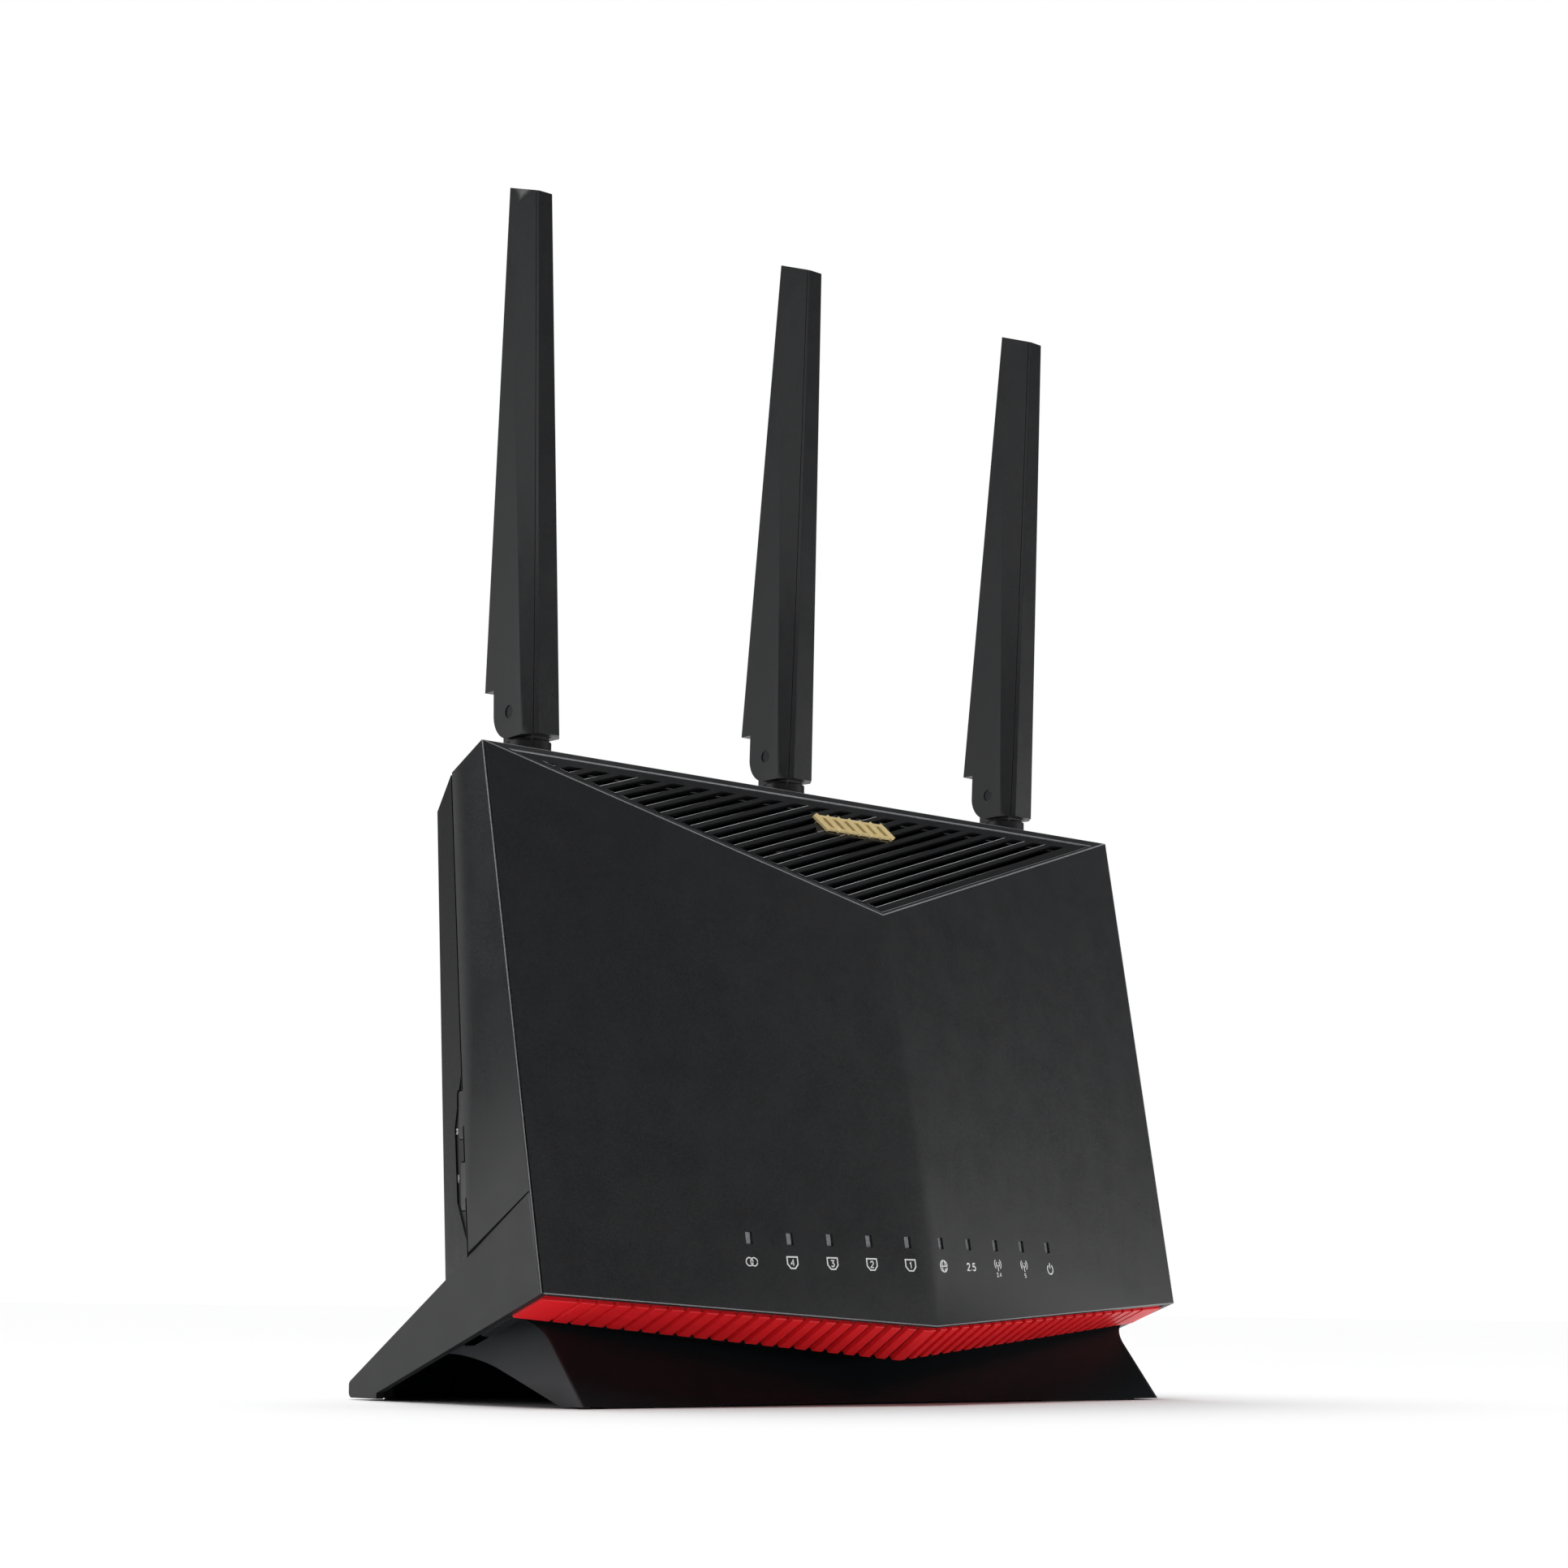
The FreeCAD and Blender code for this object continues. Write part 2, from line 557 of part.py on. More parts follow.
def side_button(z, grow, out0, out1):
    """Return a side button block between two depths from the tapered side."""
    tall, deep = SIDE_BUTTON[0] / 2 + grow, SIDE_BUTTON[1] / 2 + grow
    y = SIDE_BUTTON_Y - (SIDE_BUTTON_Z[0] - z) * 0.085 - 1.2
    block = box(-130, -80, y - deep, y + deep, z - tall, z + tall)
    edges = [e for e in block.Edges if abs(e.Vertexes[0].X - e.Vertexes[1].X) > 10]
    block = block.makeFillet(1.2 + grow, edges)
    return trim_by(block, [shifted(rear_side_left, -out1),
                           (-rear_side_left[0], -(rear_side_left[1] + out0))])


for z in SIDE_BUTTON_Z:
    rear = rear.cut(side_button(z, 0.25, -9.0, 3.0))
export("rear_cover", rear.removeSplitter())

# ------------------------------------------------------------------------ the stand
export("left_wing", wing_left)
export("right_wing", mirrored(wing_left))

tail_half = TAIL_HALF - WING_THICK - GAP
tail_plate = prism_yz([
    (seam_y(34.0) + 1.0, ramp_z(seam_y(34.0) + 1.0) - GAP),
    (TAIL_Y, ramp_z(TAIL_Y) - GAP), (TAIL_Y, FOOT_LIFT), (TAIL_Y - 7.0, FOOT_LIFT),
    (TAIL_Y - 7.0, ramp_z(TAIL_Y - 7.0) - GAP - TAIL_THICK - 0.4),
    (seam_y(34.0) + 1.0, ramp_z(seam_y(34.0) + 1.0) - GAP - TAIL_THICK)],
    -tail_half, tail_half)


def rear_pad(sx, gap):
    """Return one rear rubber strip, or with no gap the pocket that holds it."""
    middle, half, far, near = REAR_PAD
    return box(sx * middle - half + gap, sx * middle + half - gap, TAIL_Y - far + gap,
               TAIL_Y - near - gap, 0, FOOT_LIFT + PAD_DEPTH)


def front_pad(sx, gap):
    """Return one front rubber strip, or with no gap the pocket that holds it."""
    middle, half, front_inset, toe_inset = FRONT_PAD
    return box(sx * middle - half + gap, sx * middle + half - gap,
               SKIRT_FRONT_Y + front_inset + gap, TOE_Y - toe_inset - gap, 0, FOOT_LIFT + PAD_DEPTH)


tail_edges = [e for e in tail_plate.Edges
              if e.Length > 200 and min(v.Y for v in e.Vertexes) > TAIL_Y - 0.1]
tail_plate = tail_plate.makeFillet(1.4, tail_edges)
export("tail_panel", tail_plate.cut([rear_pad(sx, 0.0) for sx in (-1, 1)]))
export("rear_feet", Part.makeCompound([rear_pad(sx, PAD_GAP) for sx in (-1, 1)]))


def skirt_y(z):
    """Return y of the skirt's leaning front face at a height."""
    return SKIRT_FRONT_Y + SKIRT_LEAN * z


def keel_outline(wall):
    """Return the keel's side outline, moved inward by a wall."""
    top_y = seam_y(30.0) + 1.2
    rise = lambda y: FOOT_LIFT + KEEL_RISE * (y - TOE_Y)
    under = GAP + TAIL_THICK + 0.05
    apex_y = (ramp_z(0) - under - rise(0)) / (KEEL_RISE + RAMP_SLOPE)
    lean = wall * math.hypot(1, SKIRT_LEAN)
    slope = wall * math.hypot(1, KEEL_RISE)
    return [(skirt_y(FOOT_LIFT + wall) + lean, FOOT_LIFT + wall), (TOE_Y - wall * 0.3, FOOT_LIFT + wall),
            (apex_y - wall * 3.4, rise(apex_y - wall * 3.4) + slope),
            (apex_y - wall * 3.4, ramp_z(apex_y - wall * 3.4) - under),
            (top_y, ramp_z(top_y) - under), (top_y, 24.0), (skirt_y(24.0) + lean, 24.0)]


keel = prism_yz(keel_outline(0.0), -SKIRT_HALF, SKIRT_HALF)
hollow = prism_yz(keel_outline(KEEL_WALL), -SKIRT_HALF + KEEL_WALL, SKIRT_HALF - KEEL_WALL)
keel = keel.cut(hollow).cut(envelope)
keel = keel.cut(fuse(both(trim_half)))
# coves that blend the keel's ends into the sloping underside
COVE_R = 8.0
fall = V(0, 1, -SOFFIT_SLOPE)
fall.normalize()


def cove(sx):
    """Return the concave blend between one end of the keel and the underside."""
    base_z = BASE_Z - SOFFIT_SLOPE * (-24.0 - corner_y) - 0.2
    corner = V(-SKIRT_HALF, -24.0, base_z)
    points = [corner, corner + V(-COVE_R, 0, 0), corner + V(0, 0, -COVE_R)]
    mid = corner + V(-COVE_R, 0, -COVE_R) + V(1, 0, 1) * (COVE_R * math.sqrt(0.5))
    wire = Part.Wire([Part.makeLine(points[0], points[1]),
                      Part.Arc(points[1], mid, points[2]).toShape(),
                      Part.makeLine(points[2], points[0])])
    solid = Part.Face(wire).extrude(fall * 75.0)
    solid = solid.cut(outside_of(plane(V(-200, skirt_y(0), 0), V(200, skirt_y(0), 0),
                                       V(0, skirt_y(20), 20), V(0, 30, 5))))
    tail_top = (-ramp_plane[0], -(ramp_plane[1] + (GAP + TAIL_THICK + 0.1)
                                  / math.hypot(1, RAMP_SLOPE)))
    slope = math.hypot(1, KEEL_RISE)
    underside = (V(0, KEEL_RISE / slope, -1 / slope), (KEEL_RISE * TOE_Y - FOOT_LIFT) / slope)
    solid = trim_by(solid, [tail_top, underside])
    solid = solid.cut(envelope)
    return solid if sx < 0 else mirrored(solid)


keel = keel.fuse([cove(-1), cove(1)]).removeSplitter()
keel = keel.cut(fuse(both(wing_left)))
keel = keel.cut([front_pad(sx, 0.0) for sx in (-1, 1)])
# intake slots in the keel's sloping underside
intake = [box(x - 1.2, x + 1.2, -16.0, 8.0, -5, 30) for x in range(-90, 91, 9)]
under_block = prism_yz([(TOE_Y, FOOT_LIFT - 3), (30, 21 - 3), (30, 24), (TOE_Y, 4.2)],
                       -SKIRT_HALF + 6, SKIRT_HALF - 6)
keel = keel.cut([s.common(under_block) for s in intake])
keel_solids = sorted(keel.Solids, key=lambda s: -s.Volume)
export("base_keel", keel_solids[0])
export("front_feet", Part.makeCompound([front_pad(sx, PAD_GAP) for sx in (-1, 1)]))


# ------------------------------------------------------------------------ fasteners
def screw(head, direction, shank_r, length, head_r, head_t):
    """Return a pan-head screw with a cross recess; head is the point under the head."""
    body = rod(head, direction, shank_r, length)
    cap = rod(head - direction * head_t, direction, head_r, head_t)
    top = head - direction * head_t
    side = V(1, 0, 0)
    other = direction.cross(side)
    for a, b in ((side, other), (other, side)):
        corner = top - a * head_r * 0.6 - b * 0.25 - direction * 0.2
        face = Part.Face(Part.makePolygon([
            corner, corner + a * head_r * 1.2, corner + a * head_r * 1.2 + b * 0.5,
            corner + b * 0.5, corner]))
        cap = cap.cut(face.extrude(direction * 0.9))
    return body.fuse(cap).removeSplitter()


BACK, FORWARD = V(0, 1, 0), V(0, -1, 0)
CASE_SCREW_LENGTH = 14.0
export("case_screws", Part.makeCompound([
    screw(V(x, seam_y(z) + 4.0, z), FORWARD, CASE_SCREW_R - 0.25, CASE_SCREW_LENGTH, 2.7, 1.8)
    for x, z in CASE_SCREWS]))

# ------------------------------------------------------------------- boards, cooling
SINK_SCREWS = [(sx * 64.0, z) for sx in (-1, 1) for z in (68.0, 122.0)]
BOARD_SCREW_R = 1.25
board = box(-BOARD_HALF, BOARD_HALF, BOARD_Y, BOARD_BACK, BOARD_Z0, BOARD_Z1)
board = board.cut([rod(V(x, BOARD_Y - 1, z), BACK, BOARD_SCREW_R, 5.0) for x, z in BOARD_SCREWS])
board = board.cut([rod(V(x, BOARD_Y - 1, z), BACK, BOARD_SCREW_R, 5.0) for x, z in SINK_SCREWS])
export("main_board", board)
export("board_screws", Part.makeCompound([
    screw(V(x, BOARD_Y, z), BACK, 0.95, BOARD_THICK + 5.0, 2.4, 1.4) for x, z in BOARD_SCREWS]))

# chips on the front face: x, z, width, height
PROCESSOR = [(0.0, 96.0, 19.0, 19.0)]
RADIO_CHIPS = [(-38.0, 104.0, 12.0, 12.0), (38.0, 104.0, 12.0, 12.0), (0.0, 74.0, 10.0, 10.0)]
MEMORY_CHIPS = [(-24.0, 78.0, 9.0, 13.0), (24.0, 78.0, 9.0, 13.0)]
CHIP_T, PAD_T = 1.2, 0.8


def slabs(chips, y0, y1):
    """Return one thin block per chip between two depths."""
    return Part.makeCompound([box(x - w / 2, x + w / 2, y0, y1, z - h / 2, z + h / 2)
                              for x, z, w, h in chips])


chip_front = BOARD_Y - CHIP_T
export("processor", slabs(PROCESSOR, chip_front, BOARD_Y))
export("radio_and_memory_chips", slabs(RADIO_CHIPS + MEMORY_CHIPS, chip_front, BOARD_Y))
sink_back = chip_front - PAD_T
export("thermal_pads", slabs(PROCESSOR + RADIO_CHIPS + MEMORY_CHIPS, sink_back, chip_front))

SINK_HALF, SINK_Z0, SINK_Z1, SINK_BASE, SINK_DEPTH = 70.0, 62.0, 128.0, 2.4, 14.0
FIN_PITCH, FIN_T = 7.0, 1.2
sink = box(-SINK_HALF, SINK_HALF, sink_back - SINK_BASE, sink_back, SINK_Z0, SINK_Z1)
fins = [box(i * FIN_PITCH - FIN_T / 2, i * FIN_PITCH + FIN_T / 2, sink_back - SINK_DEPTH,
            sink_back - SINK_BASE, SINK_Z0, SINK_Z1) for i in range(-8, 9)]
spacers = [rod(V(x, sink_back, z), BACK, 2.6, BOARD_Y - sink_back) for x, z in SINK_SCREWS]
sink = sink.fuse(fins + spacers)
sink = sink.cut([rod(V(x, sink_back - SINK_DEPTH - 1, z), BACK, BOARD_SCREW_R, 30)
                 for x, z in SINK_SCREWS])
sink = sink.cut([rod(V(x, sink_back - SINK_DEPTH - 1, z), BACK, 3.0, SINK_DEPTH - SINK_BASE + 1)
                 for x, z in SINK_SCREWS])
export("heat_sink", sink.removeSplitter())
export("heat_sink_screws", Part.makeCompound([
    screw(V(x, sink_back - SINK_BASE, z), BACK, BOARD_SCREW_R, BOARD_BACK - sink_back + SINK_BASE,
          2.5, 1.5) for x, z in SINK_SCREWS]))

# parts on the back face of the board
SHIELDS = [(-50.0, 100.0, 44.0, 36.0), (50.0, 100.0, 44.0, 36.0), (0.0, 92.0, 40.0, 30.0)]
SHIELD_T, SHIELD_DEPTH = 0.4, 3.0
cans = []
for x, z, w, h in SHIELDS:
    can = box(x - w / 2, x + w / 2, BOARD_BACK, BOARD_BACK + SHIELD_DEPTH, z - h / 2, z + h / 2)
    cans.append(can.cut(box(x - w / 2 + SHIELD_T, x + w / 2 - SHIELD_T, BOARD_BACK - 1,
                            BOARD_BACK + SHIELD_DEPTH - SHIELD_T, z - h / 2 + SHIELD_T,
                            z + h / 2 - SHIELD_T)))
export("shield_cans", Part.makeCompound(cans))
MAGNETICS = [(LAN_X - 15.0, 64.5, 15.0, 12.0), (LAN_X + 15.0, 64.5, 15.0, 12.0),
             (MULTIGIG_X, 64.5, 15.0, 12.0)]
export("network_transformers", slabs(MAGNETICS, BOARD_BACK, BOARD_BACK + 5.5))
CAPACITORS = [(70.0, 66.0), (79.0, 66.0), (88.0, 66.0)]
export("capacitors", Part.makeCompound([rod(V(x, BOARD_BACK, z), BACK, 3.5, 9.0)
                                        for x, z in CAPACITORS]))

# ----------------------------------------------------------------- indicator board
LED_BOARD_FRONT = LED_BOARD_Y - 1.6
led_board = box(-74.0, 74.0, LED_BOARD_FRONT, LED_BOARD_Y, LED_Z - 6.3, LED_Z + 6.7)
led_board = led_board.cut([rod(V(sx * LED_SCREW_X, LED_BOARD_FRONT - 1, LED_Z), BACK, 0.85, 4.0)
                           for sx in (-1, 1)])
export("indicator_board", led_board)
export("indicator_board_screws", Part.makeCompound([
    screw(V(sx * LED_SCREW_X, LED_BOARD_Y, LED_Z), FORWARD, 0.85, 5.0, 2.0, 1.2)
    for sx in (-1, 1)]))
LED_T = 0.9
export("indicator_leds", Part.makeCompound([
    box(x - 0.8, x + 0.8, LED_BOARD_FRONT - LED_T, LED_BOARD_FRONT, LED_Z - 1.2, LED_Z + 1.2)
    for x in led_x]))
GUIDE_RECESS = 0.8
guide_gap = 0.08
guides = []
for x in led_x:
    guide = box(x - LED_SLOT[0] / 2 + guide_gap, x + LED_SLOT[0] / 2 - guide_gap, -60,
                LED_BOARD_FRONT - LED_T - 0.1, LED_Z - LED_SLOT[1] / 2 + guide_gap,
                LED_Z + LED_SLOT[1] / 2 - guide_gap)
    guides.append(trim_by(guide, [shifted(facet_left if x < 0 else facet_right, GUIDE_RECESS)]))
export("light_guides", Part.makeCompound(guides))
RIBBON_Z, RIBBON_HALF, RIBBON_T = 45.0, 6.0, 0.3
export("indicator_ribbon", box(-RIBBON_HALF, RIBBON_HALF, LED_BOARD_Y, BOARD_Y,
                               RIBBON_Z - RIBBON_T / 2, RIBBON_Z + RIBBON_T / 2))

# ------------------------------------------------------------- sockets at the back
SOCKET_FACE = panel_back + 0.7
bay_z = SOCKET_Z + 1.0


def socket_bay(x):
    """Return the cavity of one network socket, with the notch for the plug's latch."""
    wide, tall, deep = SOCKET_BAY
    y0, y1 = SOCKET_FACE - deep, SOCKET_FACE + 1
    z0 = bay_z - tall / 2
    return fuse([box(x - wide / 2, x + wide / 2, y0, y1, z0, z0 + tall),
                 box(x - 3.2, x + 3.2, y0, y1, z0 - 1.4, z0),
                 box(x - 1.8, x + 1.8, y0, y1, z0 - 2.6, z0 - 1.4)])


def socket_block(centre, count):
    """Return a block of network sockets standing on the board."""
    half = count * SOCKET_PITCH / 2 + 0.6
    block = box(centre - half, centre + half, BOARD_BACK, SOCKET_FACE,
                SOCKET_Z - SOCKET_H / 2, SOCKET_Z + SOCKET_H / 2)
    xs = [centre + SOCKET_PITCH * (i - (count - 1) / 2) for i in range(count)]
    return block.cut([socket_bay(x) for x in xs])


export("lan_sockets", socket_block(LAN_X, LAN_COUNT))
export("fast_network_socket", socket_block(MULTIGIG_X, 1))
combs = []
for x in [LAN_X + SOCKET_PITCH * (i - (LAN_COUNT - 1) / 2) for i in range(LAN_COUNT)] + [MULTIGIG_X]:
    top = bay_z + SOCKET_BAY[1] / 2
    for i in range(8):
        cx = x + 1.02 * (i - 3.5)
        combs.append(prism_yz([(SOCKET_FACE - 1.6, top), (SOCKET_FACE - 1.6, top - 0.4),
                               (SOCKET_FACE - 9.0, top - 2.4), (SOCKET_FACE - 9.3, top - 2.1),
                               (SOCKET_FACE - 2.6, top)], cx - 0.22, cx + 0.22))
export("socket_contacts", Part.makeCompound(combs))

INLET_HALF_X, INLET_HALF_Z, INLET_BORE, INLET_DEPTH = 4.6, 5.6, 2.8, 9.5
inlet = box(INLET_X - INLET_HALF_X, INLET_X + INLET_HALF_X, BOARD_BACK, panel_back - PANEL_THICK
            - 0.2, SOCKET_Z - INLET_HALF_Z, SOCKET_Z + INLET_HALF_Z)
inlet = inlet.fuse(rod(V(INLET_X, 18.0, SOCKET_Z), BACK, 4.1, SOCKET_FACE - 18.0))
inlet = inlet.cut(rod(V(INLET_X, SOCKET_FACE - INLET_DEPTH, SOCKET_Z), BACK, INLET_BORE, 20))
export("dc_inlet", inlet.removeSplitter())
INLET_PIN_R = 1.05
export("dc_inlet_pin", rod(V(INLET_X, SOCKET_FACE - INLET_DEPTH, SOCKET_Z), BACK, INLET_PIN_R,
                           INLET_DEPTH - 0.8))

panel = box(PANEL_X0 + GAP, PANEL_X1 - GAP, panel_back - PANEL_THICK, panel_back,
            PANEL_Z0 + GAP, PANEL_Z1 - GAP)
tabs = [box(x0, x1, panel_back - PANEL_THICK - 1.4, panel_back - PANEL_THICK,
            SOCKET_Z - 5, SOCKET_Z + 5)
        for x0, x1 in ((PANEL_X0 - 2.2, PANEL_X0 + 2.0), (PANEL_X1 - 2.0, PANEL_X1 + 1.6))]
panel = panel.fuse(tabs)
fit = 0.2
for centre, count in ((LAN_X, LAN_COUNT), (MULTIGIG_X, 1)):
    half = count * SOCKET_PITCH / 2 + 0.6 + fit
    panel = panel.cut(box(centre - half, centre + half, 10, 30, SOCKET_Z - SOCKET_H / 2 - fit,
                          SOCKET_Z + SOCKET_H / 2 + fit))
panel = panel.cut([rod(V(INLET_X, 10, SOCKET_Z), BACK, 4.1 + fit, 20),
                   rod(V(POWER_X, 10, SOCKET_Z), BACK, POWER_R + 0.3, 20),
                   rod(V(RESET_X, 10, SOCKET_Z), BACK, RESET_R + 0.15, 20)])
export("connector_panel", panel.removeSplitter())

# ------------------------------------------------------------------------- buttons
panel_inner = panel_back - PANEL_THICK
POWER_STEM_R = 1.6
power = rod(V(POWER_X, 14.4, SOCKET_Z), BACK, POWER_R, panel_back + 2.4 - 14.4)
power = power.makeFillet(0.5, [e for e in power.Edges if e.Vertexes[0].Y > panel_back + 2.3])
power = power.fuse([rod(V(POWER_X, panel_inner - 1.6, SOCKET_Z), BACK, POWER_R + 1.0, 1.3),
                    rod(V(POWER_X, 9.0, SOCKET_Z), BACK, POWER_STEM_R, 6.0)])
export("power_button", power.removeSplitter())
switch = box(POWER_X - 5.5, POWER_X + 5.5, BOARD_BACK, 12.0, SOCKET_Z - 5.5, SOCKET_Z + 5.5)
export("power_switch", switch.cut(rod(V(POWER_X, BOARD_BACK + 0.3, SOCKET_Z), BACK,
                                      POWER_STEM_R + 0.1, 10)))
reset = rod(V(RESET_X, 11.6, SOCKET_Z), BACK, RESET_R, panel_back - 0.7 - 11.6)
reset = reset.fuse(rod(V(RESET_X, panel_inner - 1.3, SOCKET_Z), BACK, 1.8, 1.0))
export("reset_button", reset.removeSplitter())
export("reset_switch", box(RESET_X - 3, RESET_X + 3, BOARD_BACK, 11.0, SOCKET_Z - 3, SOCKET_Z + 3))

SIDE_NAMES = ("pairing_button", "indicator_button")
for name, z in zip(SIDE_NAMES, SIDE_BUTTON_Z):
    button = side_button(z, 0.0, -6.0, -SIDE_BUTTON_SINK)
    export(name, button.fuse(side_button(z, 0.8, -4.7, -3.5)).removeSplitter())
side_board = trim_by(box(-130, -80, 0.0, 9.0, SIDE_POCKET_Z0 + 5.0, SIDE_POCKET_Z1 - 1.0),
                     [shifted(rear_side_left, 8.8), outward(rear_side_left, -10.2)])
export("side_switch_board", side_board.fuse(
    [side_button(z, -0.9, -8.8, -6.8) for z in SIDE_BUTTON_Z]))

# ------------------------------------------------------------------------- aerials
def between(low, high, z):
    """Interpolate a blade line between its two given heights."""
    t = (z - BLADE_Z0) / (BLADE_Z1 - BLADE_Z0)
    return tuple(a + (b - a) * t for a, b in zip(low, high))


# half width and y of the blade's three long edges, at BLADE_Z0 and at BLADE_Z1
FRONT_EDGE = ((3.5, 3.9), (2.3, 0.75))
SIDE_EDGE = ((6.5, 7.6), (2.75, 12.5))
REAR_EDGE = ((5.2, 25.6), (2.45, 13.4))


def blade_section(z, thin=0.0, front=0.0, rear=0.0):
    """Return the blade's six-sided section at a height, thinned by the given walls."""
    (w0, y0), (w1, y1), (w2, y2) = [between(low, high, z)
                                    for low, high in (FRONT_EDGE, SIDE_EDGE, REAR_EDGE)]
    points = [(-w0 + thin, y0 + front), (w0 - thin, y0 + front), (w1 - thin, y1),
              (w2 - thin, y2 - rear), (-w2 + thin, y2 - rear), (-w1 + thin, y1)]
    return Part.makePolygon([V(x, y, z) for x, y in points + points[:1]])


SLOT_HALF = TONGUE_HALF + 0.3
TIP_Z = BLADE_Z1 + 8.0
blade_solid = Part.makeLoft([blade_section(BLADE_Z0), blade_section(TIP_Z)], True, True)
tip = plane(V(-5, 0.75, BLADE_Z1), V(5, 0.75, BLADE_Z1), V(0, 13.1, BLADE_Z1 + BLADE_TOP_RISE),
            V(0, 5, 200))
blade_solid = trim_by(blade_solid, [tip])
front_face = plane(V(-3, *between(*FRONT_EDGE, BLADE_Z0)[1:], BLADE_Z0),
                   V(3, *between(*FRONT_EDGE, BLADE_Z0)[1:], BLADE_Z0),
                   V(0, *between(*FRONT_EDGE, BLADE_Z1)[1:], BLADE_Z1), V(0, 10, 250))
STRIP_T = 1.1
NOTCH_Z = 186.6
inner = Part.makeLoft([blade_section(190.0, 1.3, STRIP_T + 0.9, 1.5),
                       blade_section(316.0, 1.3, STRIP_T + 0.9, 1.5)], True, True)
notch = box(-10, 10, HINGE_Y + CHEEK_R, 40, 160, NOTCH_Z)
lower_corner = box(-10, 10, HINGE_Y, 40, 160, HINGE_Z).cut(
    rod(V(-10, HINGE_Y, HINGE_Z), V(1, 0, 0), CHEEK_R, 20))
tongue_slot = box(-SLOT_HALF, SLOT_HALF, HINGE_Y - 6.5, 40, 160, HINGE_Z + 6.5)
PIN_HALF = 5.5
blade = trim_by(blade_solid, [shifted(front_face, STRIP_T + GAP)])
blade = blade.cut([inner, notch, lower_corner, tongue_slot,
                   rod(V(-10, HINGE_Y, HINGE_Z), V(1, 0, 0), HINGE_R, 20),
                   rod(V(-PIN_HALF - 10, HINGE_Y, HINGE_Z), V(1, 0, 0), HINGE_R + 0.3, 10),
                   rod(V(PIN_HALF, HINGE_Y, HINGE_Z), V(1, 0, 0), HINGE_R + 0.3, 10)])
strip = trim_by(blade_solid, [outward(front_face, -STRIP_T)])
radiator = prism_yz([(8.5, 193.0), (19.0, 193.0), (11.0, 314.0), (5.0, 314.0)], -0.4, 0.4)
pin = rod(V(-PIN_HALF, HINGE_Y, HINGE_Z), V(1, 0, 0), HINGE_R, 2 * PIN_HALF)
tongue = fuse([box(-TONGUE_HALF, TONGUE_HALF, HINGE_Y - 6.0, HINGE_Y + 6.0, 171.0, HINGE_Z),
               rod(V(-TONGUE_HALF, HINGE_Y, HINGE_Z), V(1, 0, 0), 6.0, 2 * TONGUE_HALF)])
tongue = tongue.cut(rod(V(-10, HINGE_Y, HINGE_Z), V(1, 0, 0), HINGE_R + 0.05, 20))


def aerial_frame(side, lean, fold):
    """Return the placement that leans and folds an aerial about its hinge."""
    pivot = V(0, HINGE_Y, HINGE_Z)
    turn = FreeCAD.Rotation(V(0, 1, 0), lean).multiply(FreeCAD.Rotation(V(1, 0, 0), -fold))
    about = FreeCAD.Placement(pivot, turn).multiply(
        FreeCAD.Placement(-pivot, FreeCAD.Rotation()))
    return FreeCAD.Placement(V(side * AERIAL_X, 0, 0), FreeCAD.Rotation()).multiply(about)


def placed(shape, placement):
    """Return a moved copy of a shape."""
    return shape.transformed(placement.toMatrix())


RING_Z = SHAFT_END_Z + 1.4
for name, side, lean, fold in AERIALS:
    centre = V(side * AERIAL_X, AERIAL_Y, 0)
    export(name + "_aerial_blade", placed(blade, aerial_frame(side, lean, fold)))
    export(name + "_aerial_front_strip", placed(strip, aerial_frame(side, lean, fold)))
    export(name + "_aerial_radiator", placed(radiator, aerial_frame(side, lean, fold)))
    export(name + "_aerial_hinge_pin", placed(pin, aerial_frame(side, lean, fold)))
    knuckle = rod(centre + V(0, 0, SHAFT_END_Z), V(0, 0, 1), SHAFT_R, 171.0 - SHAFT_END_Z)
    knuckle = knuckle.fuse([
        rod(centre + V(0, 0, BOSS_TOP_Z + 0.3), V(0, 0, 1), COLLAR_R,
            COLLAR_TOP_Z - BOSS_TOP_Z - 0.3),
        rod(centre + V(0, 0, 171.0), V(0, 0, 1), 5.2, 1.1)])
    knuckle = knuckle.fuse(placed(tongue, aerial_frame(side, lean, 0.0))).removeSplitter()
    knuckle = knuckle.cut(rod(centre + V(0, 0, SHAFT_END_Z - 1), V(0, 0, 1), 1.5, 26.0))
    knuckle = knuckle.cut(ring(centre + V(0, 0, RING_Z), V(0, 0, 1), SHAFT_R + 1, SHAFT_R - 0.7,
                               1.0))
    export(name + "_aerial_swivel", knuckle)
    clip = ring(centre + V(0, 0, RING_Z), V(0, 0, 1), SOCKET_BOSS_R - 0.3, SHAFT_R - 0.7, 1.0)
    clip = clip.cut(box(centre.x - 2.0, centre.x + 2.0, AERIAL_Y, AERIAL_Y + 10, RING_Z - 1,
                        RING_Z + 2))
    export(name + "_aerial_ring", clip)

# leads from the aerial sockets to the board
LEAD_R, PLUG_Z = 0.9, 118.0
PLUG_Y = BOARD_BACK + 1.3


